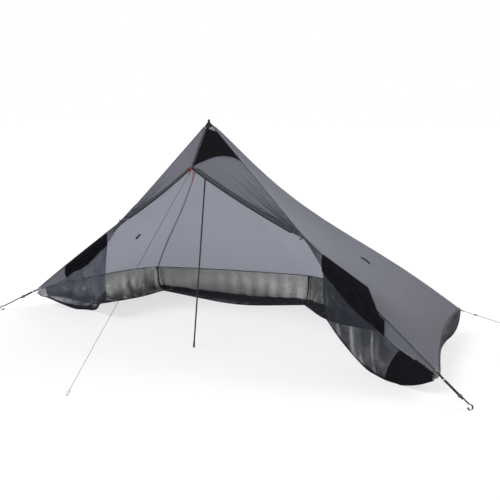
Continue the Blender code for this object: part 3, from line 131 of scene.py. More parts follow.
def curve_through(points, count):
    """Evenly numbered points on a smooth curve through the given ones."""
    points = np.array(points, float)
    padded = np.vstack([2 * points[0] - points[1], points, 2 * points[-1] - points[-2]])
    found = []
    for place in np.linspace(0, len(points) - 1, count):
        start = min(int(place), len(points) - 2)
        s = place - start
        a, b, c, d = padded[start : start + 4]
        found.append(0.5 * (2 * b + (c - a) * s + (2 * a - 5 * b + 4 * c - d) * s**2 + (3 * b - a - 3 * c + d) * s**3))
    return np.array(found)


print("a curve's middle", curve_through([PEAK, BEAK, FRONT_STAKE], 3)[1].round(3))

# %% [markdown]
# ## The four guylines
# Each guyline is a thin braided cord, looped through its tab, pulled tight to the ground and tied in an eye for a
# stake. A curve with a round bevel is the plain way to make one, and its points are the route that the frame holds.
# It is turned into a mesh once it is made.

# %% Routes of the guylines
EYE_RADIUS = 0.007
EYE_POINTS, RUN_POINTS, STAKE_EYE_POINTS = 17, 8, 14
GUYLINE_RADIUS = 0.00125
FRONT_LINE_RADIUS = 0.0010
TAB_EYE_LENGTH = 0.026
STAKE_EYE_LENGTH = 0.040
GROUND_GAP = 0.0001
TAB_HALF_WIDTH = 0.005
WEBBING = 0.0012
CLOTH = 0.0012
ZIP_DOWN = unit(BEAK - PEAK)
ZIP_OUT = np.cross(ZIP_DOWN, ACROSS)
BEAK_BAND = BEAK + ZIP_DOWN * 0.013 + ZIP_OUT * (CLOTH / 2 + GAP + WEBBING / 2)
BEAK_BAND_HALF = 0.003
BEAK_EYE_OUT = 0.0045


def stake_eye(stake, along, radius):
    """An eye for a stake at the end of a guyline and in line with it, whose far end is on the ground."""
    aside = unit(np.cross(UP, along))
    centre = stake + UP * (radius + GROUND_GAP) - along * EYE_RADIUS
    length, shoulder, beside = STAKE_EYE_LENGTH, EYE_RADIUS * 0.86, radius + GAP
    return [
        centre - along * length - aside * beside,
        centre - along * length * 0.60 - aside * beside * 1.4,
        centre - along * shoulder - aside * EYE_RADIUS,
        centre + along * EYE_RADIUS,
        centre - along * shoulder + aside * EYE_RADIUS,
        centre - along * length * 0.65 + aside * beside * 1.4,
    ]


def guyline_route(eye, stake_end):
    """A cord through its upper eye, along its taut run and round its stake eye."""
    eye = list(curve_through(eye, EYE_POINTS))
    run = [mix(eye[-1], stake_end[0], share) for share in np.linspace(0.03, 0.97, RUN_POINTS)]
    return eye + run + list(curve_through(stake_end, STAKE_EYE_POINTS))


def tab_route(bar, across, stake):
    """A guyline that is looped through a tab."""
    away, radius = unit(stake - bar), GUYLINE_RADIUS
    length, spread, beside = TAB_EYE_LENGTH, TAB_HALF_WIDTH + radius + 4 * GAP, radius + GAP
    half = [(length, beside), (length * 0.54, spread * 0.75), (length * 0.23, spread), (length * 0.03, spread * 0.72)]
    eye = [bar + away * reach + across * wide for reach, wide in half]
    eye.append(bar)
    eye += [bar + away * reach - across * wide for reach, wide in reversed(half)]
    return guyline_route(eye, stake_eye(stake, away, radius))


def beak_route(band):
    """The front guyline, which is looped round the beak's webbing."""
    room = WEBBING / 2 + FRONT_LINE_RADIUS + GAP
    reach = BEAK_BAND_HALF + FRONT_LINE_RADIUS + 4 * GAP
    half = [
        (TAB_EYE_LENGTH, BEAK_EYE_OUT),
        (TAB_EYE_LENGTH * 0.38, room + 3.5 * GAP),
        (0.0, room + 1.5 * GAP),
        (-reach * 0.8, room * 0.75),
        (-reach - GAP, 0.0),
    ]
    outside = [band + ZIP_DOWN * down + ZIP_OUT * out for down, out in half]
    inside = [band + ZIP_DOWN * down - ZIP_OUT * out for down, out in half[1:-1]]
    inside.insert(0, band + ZIP_DOWN * TAB_EYE_LENGTH + ZIP_OUT * (BEAK_EYE_OUT - 2 * (FRONT_LINE_RADIUS + GAP)))
    away = unit(FRONT_STAKE - outside[0])
    return guyline_route(inside + outside[::-1], stake_eye(FRONT_STAKE, away, FRONT_LINE_RADIUS))


# %% Make the guylines
def dress(piece, slot, *nodes):
    """The piece rides with the canopy and stands for the frame's nodes, which are hidden. Its slot is not used."""
    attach(piece, "canopy")
    if nodes:
        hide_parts(*nodes)


def guyline(name, node, route, radius):
    data = bpy.data.curves.new(name, "CURVE")
    data.dimensions = "3D"
    data.bevel_depth = radius
    data.bevel_resolution = 3
    data.use_fill_caps = True
    spline = data.splines.new("POLY")
    spline.points.add(len(route) - 1)
    for point, place in zip(spline.points, route):
        point.co = (*place, 1.0)
    line = bpy.data.objects.new(name, data)
    bpy.context.scene.collection.objects.link(line)
    bpy.ops.object.select_all(action="DESELECT")
    bpy.context.view_layer.objects.active = line
    line.select_set(True)
    bpy.ops.object.convert(target="MESH")
    dress(line, "black_cord", node)
    return line


TABS = {
    "left_rear": ((-1.17632, 0.97002, 0.15033), (-0.41328, -0.87039, 0.26763), (-1.400, 1.030, 0.0)),
    "right_rear": ((1.17094, 0.97665, 0.18678), (-0.80681, 0.58211, 0.10099), (1.453, 1.400, 0.0)),
    "back": ((0.00002, 1.22359, 0.18684), (-0.99993, -0.00664, -0.01016), (0.0, 1.513, 0.0)),
}
lines = []
for name, places in TABS.items():
    bar, across, stake = (np.array(place) for place in places)
    route = tab_route(bar, across, stake)
    lines.append(guyline(f"{name}_line", f"{name}_guyline", route, GUYLINE_RADIUS))
front_route = beak_route(BEAK_BAND)
lines.append(guyline("front_line", "front_guyline", front_route, FRONT_LINE_RADIUS))

# %% [markdown]
# ## Finishes
# A material is a small sum worked out at every point. Written with nodes it becomes a tangle, so one class wraps a
# node's output and gives it Python's arithmetic. Each finish below then reads like the sentence that describes it.

# %% The shader helper
class Channel:
    """A value of a finish at each point: an output socket that arithmetic can be done on."""

    def __init__(self, finish, socket):
        self.finish = finish
        self.socket = socket

    def math(self, operation, *values):
        return self.finish.node("ShaderNodeMath", {"operation": operation}, dict(enumerate(values)))

    def other(self, output):
        """Another output of the same node."""
        return Channel(self.finish, self.socket.node.outputs[output])

    def __add__(self, value):
        return self.math("ADD", self, value)

    def __sub__(self, value):
        return self.math("SUBTRACT", self, value)

    def __rsub__(self, value):
        return self.math("SUBTRACT", value, self)

    def __mul__(self, value):
        return self.math("MULTIPLY", self, value)

    def __truediv__(self, value):
        return self.math("DIVIDE", self, value)

    def __lt__(self, value):
        return self.math("LESS_THAN", self, value)

    def __or__(self, value):
        return self.math("MAXIMUM", self, value)

    __radd__ = __add__
    __rmul__ = __mul__

    def fraction(self):
        return self.math("FRACT", self)

    def wave(self):
        return self.math("SINE", self)

    def size(self):
        return self.math("ABSOLUTE", self)


class Finish:
    """A material under construction, with its Principled shader."""

    def __init__(self, name, roughness, metallic=0.0, shine=0.5):
        self.material = bpy.data.materials.new(name)
        self.material.use_nodes = True
        self.tree = self.material.node_tree
        self.shader = self.tree.nodes["Principled BSDF"]
        self.shader.inputs["Roughness"].default_value = roughness
        self.shader.inputs["Metallic"].default_value = metallic
        self.shader.inputs["Specular IOR Level"].default_value = shine

    def put(self, socket, value):
        if isinstance(value, Channel):
            self.tree.links.new(value.socket, socket)
        else:
            socket.default_value = value

    def node(self, kind, settings=None, values=None, output=0):
        """Any node: its settings are set first, then the values or links of its sockets."""
        made = self.tree.nodes.new(kind)
        for key, value in (settings or {}).items():
            setattr(made, key, value)
        for key, value in (values or {}).items():
            self.put(made.inputs[key], value)
        return Channel(self, made.outputs[output])

    def noise(self, where, scale, detail=3.0, roughness=0.55):
        values = {"Vector": where, "Scale": scale, "Detail": detail, "Roughness": roughness}
        return self.node("ShaderNodeTexNoise", values=values)

    def between(self, first, second, factor):
        """A colour between two others, which may be plain or worked out."""
        ends = [(*colour, 1.0) if isinstance(colour, tuple) else colour for colour in (first, second)]
        return self.node("ShaderNodeMix", {"data_type": "RGBA"}, {0: factor, 6: ends[0], 7: ends[1]}, output=2)

    def bump(self, height, distance, strength=1.0):
        values = {"Height": height, "Distance": distance, "Strength": strength}
        self.put(self.shader.inputs["Normal"], self.node("ShaderNodeBump", values=values))

    def uv(self):
        """The two distances in metres over a piece's own cloth."""
        flat = self.node("ShaderNodeUVMap", {"uv_map": "flat"})
        apart = self.node("ShaderNodeSeparateXYZ", values={"Vector": flat})
        return flat, apart, apart.other(1)

    def place(self):
        return self.node("ShaderNodeTexCoord", output=3)

    def mixed_with(self, kind, colour, factor):
        """The Principled shader, mixed with another one by a factor."""
        other = self.node(kind, values={"Color": (*colour, 1.0)})
        principled = Channel(self, self.shader.outputs["BSDF"])
        blend = self.node("ShaderNodeMixShader", values={0: factor, 1: principled, 2: other})
        self.put(self.tree.nodes["Material Output"].inputs["Surface"], blend)


# %% [markdown]
# ### Cloth finishes
# The canopy is ripstop: a fine weave with a thicker thread every few millimetres. The cloth is thin, so part of
# the light that falls on one side comes out of the other, which a Translucent shader mixed in gives.

# %% Canopy cloth and black cloth
RIPSTOP = 0.0060
RIPSTOP_THREAD = 0.10


def ripstop(finish, across, down):
    """1 on the thicker threads and 0 between them."""
    return ((across / RIPSTOP).fraction() < RIPSTOP_THREAD) | ((down / RIPSTOP).fraction() < RIPSTOP_THREAD)


def cloth_finish(name, dark, light, roughness, through, glow, shine=0.4):
    finish = Finish(name, roughness, shine=shine)
    flat, across, down = finish.uv()
    patches = finish.noise(flat, 2.6, 4.0)
    threads = ripstop(finish, across, down)
    crumple = finish.noise(flat, 9.0, 5.0, 0.62)
    weave = ((across * (math.tau / 0.0009)).wave() * (down * (math.tau / 0.0009)).wave()) * 0.05
    tone = patches * 0.8 + crumple * 0.2 - threads * 0.10
    finish.put(finish.shader.inputs["Base Color"], finish.between(dark, light, tone))
    finish.put(finish.shader.inputs["Roughness"], roughness - 0.08 + crumple * 0.16)
    finish.bump(crumple + threads * 0.06 + weave, 0.0042, 0.55)
    finish.mixed_with("ShaderNodeBsdfTranslucent", glow, through)
    return finish.material


GREY_DARK, GREY_LIGHT, GREY_GLOW = (0.080, 0.078, 0.092), (0.125, 0.123, 0.140), (0.78, 0.80, 0.86)
BLACK_DARK, BLACK_LIGHT, BLACK_GLOW = (0.003, 0.003, 0.004), (0.009, 0.009, 0.012), (0.02, 0.02, 0.02)
canopy_cloth = cloth_finish("canopy_cloth", GREY_DARK, GREY_LIGHT, 0.60, 0.51, GREY_GLOW)
black_cloth = cloth_finish("black_cloth", BLACK_DARK, BLACK_LIGHT, 0.90, 0.02, BLACK_GLOW, shine=0.06)
print("cloth finishes", canopy_cloth.name, black_cloth.name)

# %% [markdown]
# ### Netting
# Insect netting is dark thread with holes between. Each thread is finer than can be modelled over square metres, so
# the holes are cut by the material: where there is no thread, a Transparent shader shows what is behind. Netting looks
# denser where it is gathered, which is at its folds and in the band at its foot, and its hem is a black line. The foot
# band is also painted darker, towards the hem's black, as painted shade.

# %% Netting and the gathered netting of the rolls
NET_PITCH = 0.0013
NET_FOOT_COVER = 0.26
NET_HEM_LINE = 0.012
# The hem's own black, which the foot band is also painted towards as painted shade.
NET_HEM_AND_SHADE_BLACK = (0.006, 0.006, 0.008)


def netting_finish(name, dark, light, cover, loose, foot_depth):
    finish = Finish(name, 0.85, shine=0.15)
    flat, up, along = finish.uv()
    folds = finish.noise(flat, 7.0, 4.0)
    foot = (up + folds * 0.05) < foot_depth
    hem = up < NET_HEM_LINE
    tight = cover + (folds - 0.5) * loose + foot * NET_FOOT_COVER
    threads = ((up / NET_PITCH).fraction() < tight) | ((along / NET_PITCH).fraction() < tight)
    tone = finish.between(dark, light, folds)
    # The hem takes this black as its own colour; the foot band is darkened 0.7 of the way to it, as painted shade.
    finish.put(finish.shader.inputs["Base Color"], finish.between(tone, NET_HEM_AND_SHADE_BLACK, hem | (foot * 0.7)))
    finish.bump(folds, 0.004, 0.5)
    finish.mixed_with("ShaderNodeBsdfTransparent", (1.0, 1.0, 1.0), 1 - (threads | hem))
    return finish.material


netting = netting_finish("netting", (0.014, 0.016, 0.022), (0.038, 0.042, 0.056), 0.40, 0.50, 0.045)
# The left netting is the same netting, painted lighter and bluer as painted light.
painted_lit_left_netting = netting_finish("painted_lit_left_netting", (0.024, 0.029, 0.044), (0.056, 0.066, 0.092), 0.34, 0.45, 0.060)
# The back netting is the same netting, painted lighter as painted light where the light falls on it.
back_netting = netting_finish("back_netting", (0.060, 0.064, 0.070), (0.105, 0.110, 0.116), 0.46, 0.18, 0.150)


def bundle_finish(name):
    finish = Finish(name, 0.95, shine=0.06)
    place = finish.place()
    folds = finish.noise(place, 34.0, 5.0, 0.6)
    weave = finish.noise(place, 900.0, 1.0)
    finish.put(finish.shader.inputs["Base Color"], finish.between((0.002, 0.002, 0.003), (0.009, 0.009, 0.013), folds))
    finish.bump(folds + weave * 0.05, 0.006, 0.7)
    return finish.material


bundled_netting = bundle_finish("bundled_netting")
print("netting pitch", NET_PITCH)

# %% [markdown]
# ### Tapes, webbing and cords
# Seam tape carries two rows of stitches. Webbing is woven in ribs across its length, and a cord's sheath is a braid
# that winds both ways round it. Each is a small wave pattern, along the piece's own length.

# %% Tape, webbing and cord finishes
STITCH = 0.0042
STITCH_ROW = 0.0040


def tape_finish(name, dark, light, through=0.0):
    finish = Finish(name, 0.72, shine=0.25)
    flat, across, down = finish.uv()
    row = (across.size() - STITCH_ROW).size() < 0.0005
    stitch = row * ((down / STITCH).fraction() < 0.68)
    worn = finish.noise(flat, 60.0, 4.0)
    finish.put(finish.shader.inputs["Base Color"], finish.between(dark, light, worn * 0.5 + stitch * 0.5))
    finish.bump(worn * 0.3 + stitch, 0.0006, 0.8)
    if through:
        finish.mixed_with("ShaderNodeBsdfTranslucent", GREY_GLOW, through)
    return finish.material


def woven_finish(name, dark, light, pitch, along, roughness=0.80):
    """Ribs or a braid, counted along one direction of the piece."""
    finish = Finish(name, roughness, shine=0.2)
    place = finish.place()
    distance = finish.node("ShaderNodeVectorMath", {"operation": "DOT_PRODUCT"}, {0: place, 1: tuple(along)}, output=1)
    fuzz = finish.noise(place, 420.0, 3.0)
    ribs = (distance * (math.tau / pitch) + fuzz * 1.6).wave() * 0.5 + 0.5
    finish.put(finish.shader.inputs["Base Color"], finish.between(dark, light, ribs * 0.6 + fuzz * 0.4))
    finish.bump(ribs + fuzz * 0.5, 0.0005, 0.8)
    return finish.material


seam_tape = tape_finish("seam_tape", (0.020, 0.021, 0.025), (0.075, 0.078, 0.088))
rear_tape = tape_finish("rear_tape", (0.060, 0.062, 0.072), (0.130, 0.133, 0.148), 0.78)
BLACK, SOFT_BLACK = (0.005, 0.005, 0.006), (0.020, 0.020, 0.023)
zip_tape = woven_finish("zip_tape", BLACK, SOFT_BLACK, 0.0011, tuple(ZIP_DOWN))
cap_cloth = woven_finish("cap_cloth", BLACK, SOFT_BLACK, 0.0009, (0.7, 0.1, 0.7))
cord_sheath = woven_finish("cord_sheath", BLACK, SOFT_BLACK, 0.0016, (0.5, 0.6, 0.62))
red_braid = woven_finish("red_braid", (0.300, 0.012, 0.010), (0.620, 0.040, 0.028), 0.0016, (0.3, 0.4, 0.86))
print("stitch length", STITCH)

# %% [markdown]
# ### Hard finishes
# Moulded plastic has a fine grain, the pole is anodised with faint scratches along it, and the rings and the zip's
# slider are coated metal. The foot is rubber, mottled with dust.

# %% Plastic, pole, wire, slider and rubber
def grained_finish(name, dark, light, roughness, grain, depth, metallic=0.0):
    finish = Finish(name, roughness, metallic)
    place = finish.place()
    grains = finish.noise(place, grain, 3.0)
    wear = finish.noise(place, 45.0, 4.0, 0.7)
    finish.put(finish.shader.inputs["Base Color"], finish.between(dark, light, wear))
    finish.put(finish.shader.inputs["Roughness"], roughness - 0.10 + wear * 0.22)
    finish.bump(grains, depth, 0.6)
    return finish.material


def pole_finish(name):
    finish = Finish(name, 0.34, 0.6)
    place = finish.place()
    stretched = finish.node("ShaderNodeMapping", values={"Vector": place, "Scale": (1.0, 1.0, 0.02)})
    scratches = finish.noise(stretched, 1400.0, 3.0)
    smudge = finish.noise(place, 14.0, 4.0)
    finish.put(finish.shader.inputs["Base Color"], finish.between((0.012, 0.012, 0.014), (0.040, 0.040, 0.044), smudge))
    finish.put(finish.shader.inputs["Roughness"], 0.24 + scratches * 0.22)
    finish.bump(scratches, 0.0002, 0.4)
    return finish.material


plastic = grained_finish("plastic", (0.010, 0.010, 0.011), (0.026, 0.026, 0.028), 0.42, 1600.0, 0.0002)
coated_wire = grained_finish("coated_wire", (0.020, 0.020, 0.021), (0.070, 0.070, 0.072), 0.38, 900.0, 0.0001, 0.9)
enamel = grained_finish("enamel", (0.020, 0.020, 0.022), (0.080, 0.080, 0.085), 0.34, 900.0, 0.0001, 0.9)
rubber = grained_finish("rubber", (0.010, 0.010, 0.010), (0.050, 0.048, 0.044), 0.84, 700.0, 0.0004)
anodised = pole_finish("anodised")
for line in lines:
    line.data.materials.append(cord_sheath)
print("hard finishes made")


# %% Dress the frame's rigid pieces
def direction(node):
    """The longest way through a node's box, which is near enough the way its weave runs."""
    low, high = (np.array(corner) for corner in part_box(node))
    return unit(high - low)


def finish_of(node, slot):
    if slot == "black_webbing":
        return woven_finish(f"{node}_weave", BLACK, SOFT_BLACK, 0.0021, direction(node))
    plain = {"black_plastic": plastic, "pole_tube": anodised, "ring_steel": coated_wire, "zip_metal": enamel}
    plain.update({"foot_rubber": rubber, "red_cord": red_braid, "black_cord": cord_sheath})
    plain.update({"black_cloth": cap_cloth, "seam_tape": zip_tape})
    return plain[slot]


SHOWN_SLOTS = {row["node"]: row["material_slot"] for row in frame["record"]["subparts"]}
SOFT_ENDS = ("_panel", "_door", "_netting", "_roll", "_ridge_seam", "_hem", "_reinforcement", "_guyline")
rigid = [node for node in SHOWN_SLOTS if not node.endswith(SOFT_ENDS)]
for node in rigid:
    item = NODES[node]
    for place in item.material_slots:
        place.material = finish_of(node, SHOWN_SLOTS[node])
print("dressed", len(rigid), "rigid pieces")

# %% [markdown]
# ## The canopy's lines
# A ridge is a tight line that dips where a toggle pulls on it. A hem curves up between its corners. Panels are
# stretched between such lines, and sag a little in their middles, so each is a formula of two shares.

# %% Ridges, hems and panels
def front_ridge(side, share):
    corner = FRONT_CORNER[side]
    along = mix(CAP_REACH / np.linalg.norm(corner - PEAK), 1.0, share)
    kink = min(share / TOGGLE_SHARE, ((1 - share) / (1 - TOGGLE_SHARE)) ** 1.4)
    return mix(PEAK, corner, along) - UP * (TOGGLE_DIP[side] * kink + FRONT_RIDGE_SAG * 4 * share * (1 - share))


def rear_ridge(side, share):
    corner = REAR_CORNER[side]
    along = mix(CAP_REACH / np.linalg.norm(corner - PEAK), 1.0, share)
    deepest = (1 / 3) ** 1.5 * (2 / 3) ** 3
    return mix(PEAK, corner, along) - UP * REAR_RIDGE_SAG * share**1.5 * (1 - share) ** 3 / deepest


def scalloped(start, end, share, depth):
    to_peak = unit(PEAK - mix(start, end, 0.5))
    return mix(start, end, share) + to_peak * depth * 4 * share * (1 - share)


def end_hem(side, share):
    return scalloped(FRONT_CORNER[side], REAR_CORNER[side], share, HEM_SCALLOP)


def back_hem(share):
    if share <= 0.5:
        return scalloped(REAR_CORNER[LEFT], BACK_CENTRE, 2 * share, BACK_SCALLOP)
    return scalloped(BACK_CENTRE, REAR_CORNER[RIGHT], 2 * share - 1, BACK_SCALLOP)


def out_of_end(side):
    return unit(np.array([side * 0.62, 0.20, 0.75]))


OUT_OF_BACK = unit(np.array([0.0, 0.70, 0.71]))
OUT_OF_DOOR = unit(np.array([0.0, -0.85, 0.53]))


def end_panel(side, down, across):
    to_hem = end_hem(side, across) - mix(FRONT_CORNER[side], REAR_CORNER[side], across)
    hollow = PANEL_HOLLOW * math.sin(math.pi * down) * math.sin(math.pi * across)
    return mix(front_ridge(side, down), rear_ridge(side, down), across) + to_hem * down**2 - out_of_end(side) * hollow


def back_panel(down, across):
    to_hem = back_hem(across) - mix(REAR_CORNER[LEFT], REAR_CORNER[RIGHT], across)
    hollow = PANEL_HOLLOW * math.sin(math.pi * down) * math.sin(math.pi * across)
    return mix(rear_ridge(LEFT, down), rear_ridge(RIGHT, down), across) + to_hem * down - OUT_OF_BACK * hollow


print("back centre", back_panel(1.0, 0.5).round(3))

# %% [markdown]
# A door is measured along its ridge: 0 at the zip, 1 at the toggle that gathers it and 2 at the corner. Its cloth
# falls from the ridge to a free edge, and runs in pleats into the toggle, where all of its width is squeezed to 14 mm.

# %% Doors
PLEATS = 5
PLEAT_DEPTH = 0.0125


def ridge_share(along):
    return TOGGLE_SHARE * along if along <= 1 else mix(TOGGLE_SHARE, 1.0, along - 1)


def door_ridge(side, along):
    first = 0.05
    if along >= first:
        return front_ridge(side, ridge_share(along))
    start = PEAK + ZIP_DOWN * CAP_REACH + ACROSS * side * DOOR_EDGE
    return mix(start, front_ridge(side, ridge_share(first)), along / first)


def door_free_edge(side, along):
    if along <= 1:
        start = BEAK + ACROSS * side * DOOR_EDGE
        end = door_ridge(side, 1) - UP * NECK_DEPTH
        return mix(start, end, along) - UP * FREE_EDGE_SAG * 4 * along * (1 - along)
    opening = mix(NECK_DEPTH, STRIP_DEPTH, smooth_step((along - 1) / 0.20))
    closing = mix(NECK_DEPTH, 1.0, smooth_step((2 - along) / 0.35))
    return door_ridge(side, along) - UP * min(opening, closing * STRIP_DEPTH + NECK_DEPTH * (1 - closing))


def door(side, along, down):
    point = mix(door_ridge(side, along), door_free_edge(side, along), down)
    held = math.sin(math.pi * min(down, 1.0))
    if along < 1:
        point = point + OUT_OF_DOOR * DOOR_SWELL * math.sin(math.pi * along) * held**2
    gather = smooth_step(along / 0.9) if along < 1 else 1 - smooth_step((along - 1) / 0.25)
    wander = 0.35 * math.sin(5.2 * along + 1.3 * side)
    fold = math.sin(math.tau * PLEATS * down + wander) + 0.4 * math.sin(math.tau * (PLEATS + 3.5) * down - 2 * wander)
    return point + OUT_OF_DOOR * PLEAT_DEPTH * gather * (0.35 + 0.65 * gather) * held * fold


print("toggle", door(RIGHT, 1.0, 0.5).round(3))

# %% [markdown]
# ## Making a sheet
# Cloth is made as a grid of points, one row after another down the piece. Wrinkles are moves of those points along
# the cloth's own normals, which fade out at the seams that hold it. The grid then gets a thin wall, and a map in
# metres, so that the weave has the same size on every piece.

# %% Sheet helpers
def grid_of(surface, rows, columns, first=(0.0, 0.0), last=(1.0, 1.0)):
    downs, acrosses = np.linspace(first[0], last[0], rows), np.linspace(first[1], last[1], columns)
    return np.array([[surface(down, across) for across in acrosses] for down in downs])


def normals_of(grid, facing):
    normals = np.cross(np.gradient(grid, axis=0), np.gradient(grid, axis=1))
    normals /= np.maximum(np.linalg.norm(normals, axis=2, keepdims=True), 1e-9)
    return normals if (normals.mean(axis=(0, 1)) * facing).sum() > 0 else -normals


def shares(grid):
    rows, columns = grid.shape[:2]
    return np.meshgrid(np.linspace(0, 1, rows), np.linspace(0, 1, columns), indexing="ij")


def held_edges(grid, softness=0.30):
    """0 along the grid's four edges, rising to 1 inside."""
    down, across = shares(grid)
    return np.clip(16 * down * (1 - down) * across * (1 - across), 0, 1) ** softness


def fan(grid, centre, reach, depth, count, turn, axis=UP):
    """Folds that spread from a held point and fade with distance."""
    away = grid - centre
    straight = unit((grid.mean(axis=(0, 1)) - centre))
    aside = unit(np.cross(straight, axis))
    x, y = away @ straight, away @ aside
    radius, angle = np.hypot(x, y), np.arctan2(y, x)
    fade = radius / (radius + 0.03) * np.exp(-radius / reach)
    return depth * fade * (np.sin(count * angle + turn) + 0.5 * np.sin(1.7 * count * angle + 2.1 * turn))


def ripple(grid, size, depth, seed):
    """Loose, uneven waves of about one size."""
    chance = np.random.default_rng(seed)
    total = np.zeros(grid.shape[:2])
    for _ in range(7):
        heading = unit(chance.normal(size=3)) * math.tau / (size * chance.uniform(0.7, 1.5))
        total += np.sin(grid @ heading + chance.uniform(0, math.tau))
    return depth * total / 7**0.5


def cloth_map(grid, unrolled):
    """Distances in metres over the cloth: on its mean plane or, for a hanging strip, up from its foot and along it."""
    if unrolled:
        fall = np.append(0, np.linalg.norm(np.diff(grid, axis=1), axis=2).mean(axis=0).cumsum())
        along = np.append(0, np.linalg.norm(np.diff(grid, axis=0), axis=2).mean(axis=1).cumsum())
        return np.meshgrid(along, fall[-1] - fall, indexing="ij")[::-1]
    straight = unit(grid[-1].mean(axis=0) - grid[0].mean(axis=0))
    beside = grid[-1, -1] - grid[-1, 0]
    beside = unit(beside - straight * (beside @ straight))
    return (grid - grid[0, 0]) @ beside, (grid - grid[0, 0]) @ straight


def add_mesh(name, vertices, faces, flat_map, material):
    mesh = bpy.data.meshes.new(name)
    mesh.from_pydata(vertices.tolist(), [], faces)
    mesh.materials.append(material)
    if flat_map is not None:
        layer = mesh.uv_layers.new(name="flat")
        corners = np.array([loop.vertex_index for loop in mesh.loops])
        layer.data.foreach_set("uv", flat_map[corners].ravel())
    mesh.shade_smooth()
    piece = bpy.data.objects.new(name, mesh)
    bpy.context.scene.collection.objects.link(piece)
    return piece


def apply_modifier(piece, kind, **settings):
    """Adds a modifier and applies it, as by hand."""
    bpy.ops.object.select_all(action="DESELECT")
    bpy.context.view_layer.objects.active = piece
    piece.select_set(True)
    modifier = piece.modifiers.new("step", kind)
    for key, value in settings.items():
        setattr(modifier, key, value)
    bpy.ops.object.modifier_apply(modifier=modifier.name)


def sheet_mesh(name, grid, material, facing, wall=0.0006, unrolled=False):
    """A cloth piece on a grid of points, given a thin wall."""
    rows, columns = grid.shape[:2]
    across, down = cloth_map(grid, unrolled)
    flat_map = np.stack([across.ravel(), down.ravel()], axis=1)
    faces = []
    for i in range(rows - 1):
        for j in range(columns - 1):
            a = i * columns + j
            faces.append((a, a + 1, a + columns + 1, a + columns))
    step = np.cross(np.gradient(grid, axis=1), np.gradient(grid, axis=0)).mean(axis=(0, 1))
    if step @ facing < 0:
        faces = [face[::-1] for face in faces]
    piece = add_mesh(name, grid.reshape(-1, 3), faces, flat_map, material)
    apply_modifier(piece, "SOLIDIFY", thickness=wall, offset=0.0)
    return piece


def hang(name, base, moves, material, facing, slot, nodes, unrolled=False, wall=0.0006):
    """Makes and dresses a sheet from its smooth form, moved along its normals."""
    grid = base + normals_of(base, facing) * moves[..., None]
    grid[..., 2] = np.maximum(grid[..., 2], wall)
    piece = sheet_mesh(name, grid, material, facing, wall, unrolled)
    dress(piece, slot, *nodes)
    return piece


# %% [markdown]
# ## The three big panels
# The back and end panels are stretched tightest near the peak and the corners, so their folds fan out from there.
# Between, the cloth keeps shallow, uneven waves.

# %% Back and end panels
base = grid_of(back_panel, 110, 130)
moves = ripple(base, 0.34, 0.0022, 1) + ripple(base, 0.11, 0.0006, 2)
moves += fan(base, PEAK, 0.42, 0.0035, 17, 0.4) + fan(base, BACK_CENTRE, 0.25, 0.0045, 15, 1.0)
for side in (LEFT, RIGHT):
    moves += fan(base, REAR_CORNER[side], 0.26, 0.0045, 19, 0.7 * side)
back = hang("back_cloth", base, moves * held_edges(base), canopy_cloth, OUT_OF_BACK, "canopy_cloth",
            ["back_panel"])

for name, side in SIDES.items():
    base = grid_of(lambda down, across: end_panel(side, down, across), 110, 90)
    moves = ripple(base, 0.30, 0.0022, 3 + side) + ripple(base, 0.10, 0.0006, 7 + side)
    moves += fan(base, PEAK, 0.40, 0.0030, 19, 0.9) + fan(base, REAR_CORNER[side], 0.26, 0.0045, 17, 0.2)
    moves += fan(base, FRONT_CORNER[side], 0.30, 0.0045, 17, 1.7)
    moves += fan(base, front_ridge(side, TOGGLE_SHARE), 0.16, 0.0040, 15, 0.5)
    hang(f"{name}_end_cloth", base, moves * held_edges(base), canopy_cloth, out_of_end(side), "canopy_cloth",
         [f"{name}_end_panel"])

# %% [markdown]
# ## The doors
# Each door is one sheet with pleats that run into its toggle. The black panel near the peak is a second layer of
# heavier cloth, laid on the right door and sewn round its edge. It is plain.

# %% Doors and the black panel
DOOR_LAST = 1.94
PATCH_DEPTH, PATCH_REACH, PATCH_CURVE = 0.94, 0.36, 1.6
for name, side in SIDES.items():
    base = grid_of(lambda along, down: door(side, along, down), 190, 56, last=(DOOR_LAST, 1.0))
    moves = ripple(base, 0.16, 0.0012, 11 + side) * held_edges(base)
    hang(f"{name}_door_cloth", base, moves, canopy_cloth, OUT_OF_DOOR, "canopy_cloth", [f"{name}_door"])


PATCH_RISE = 0.0040


def patch(along, share):
    depth = PATCH_DEPTH * (1 - along / PATCH_REACH) ** PATCH_CURVE
    return door(RIGHT, along, mix(0.01, depth, share)) + OUT_OF_DOOR * PATCH_RISE


base = grid_of(patch, 50, 34, first=(0.0, 0.0), last=(0.33, 1.0))
moves = ripple(base, 0.09, 0.0003, 21)
hang("peak_patch", base, moves, black_cloth, OUT_OF_DOOR, "black_cloth", ["peak_reinforcement"])

# %% [markdown]
# ## The netting
# One strip of netting is sewn under the whole hem. It falls from the hem, turns inward and ends on the ground. It
# has more width than the hem has, so it hangs in soft upright folds, deepest at its foot.

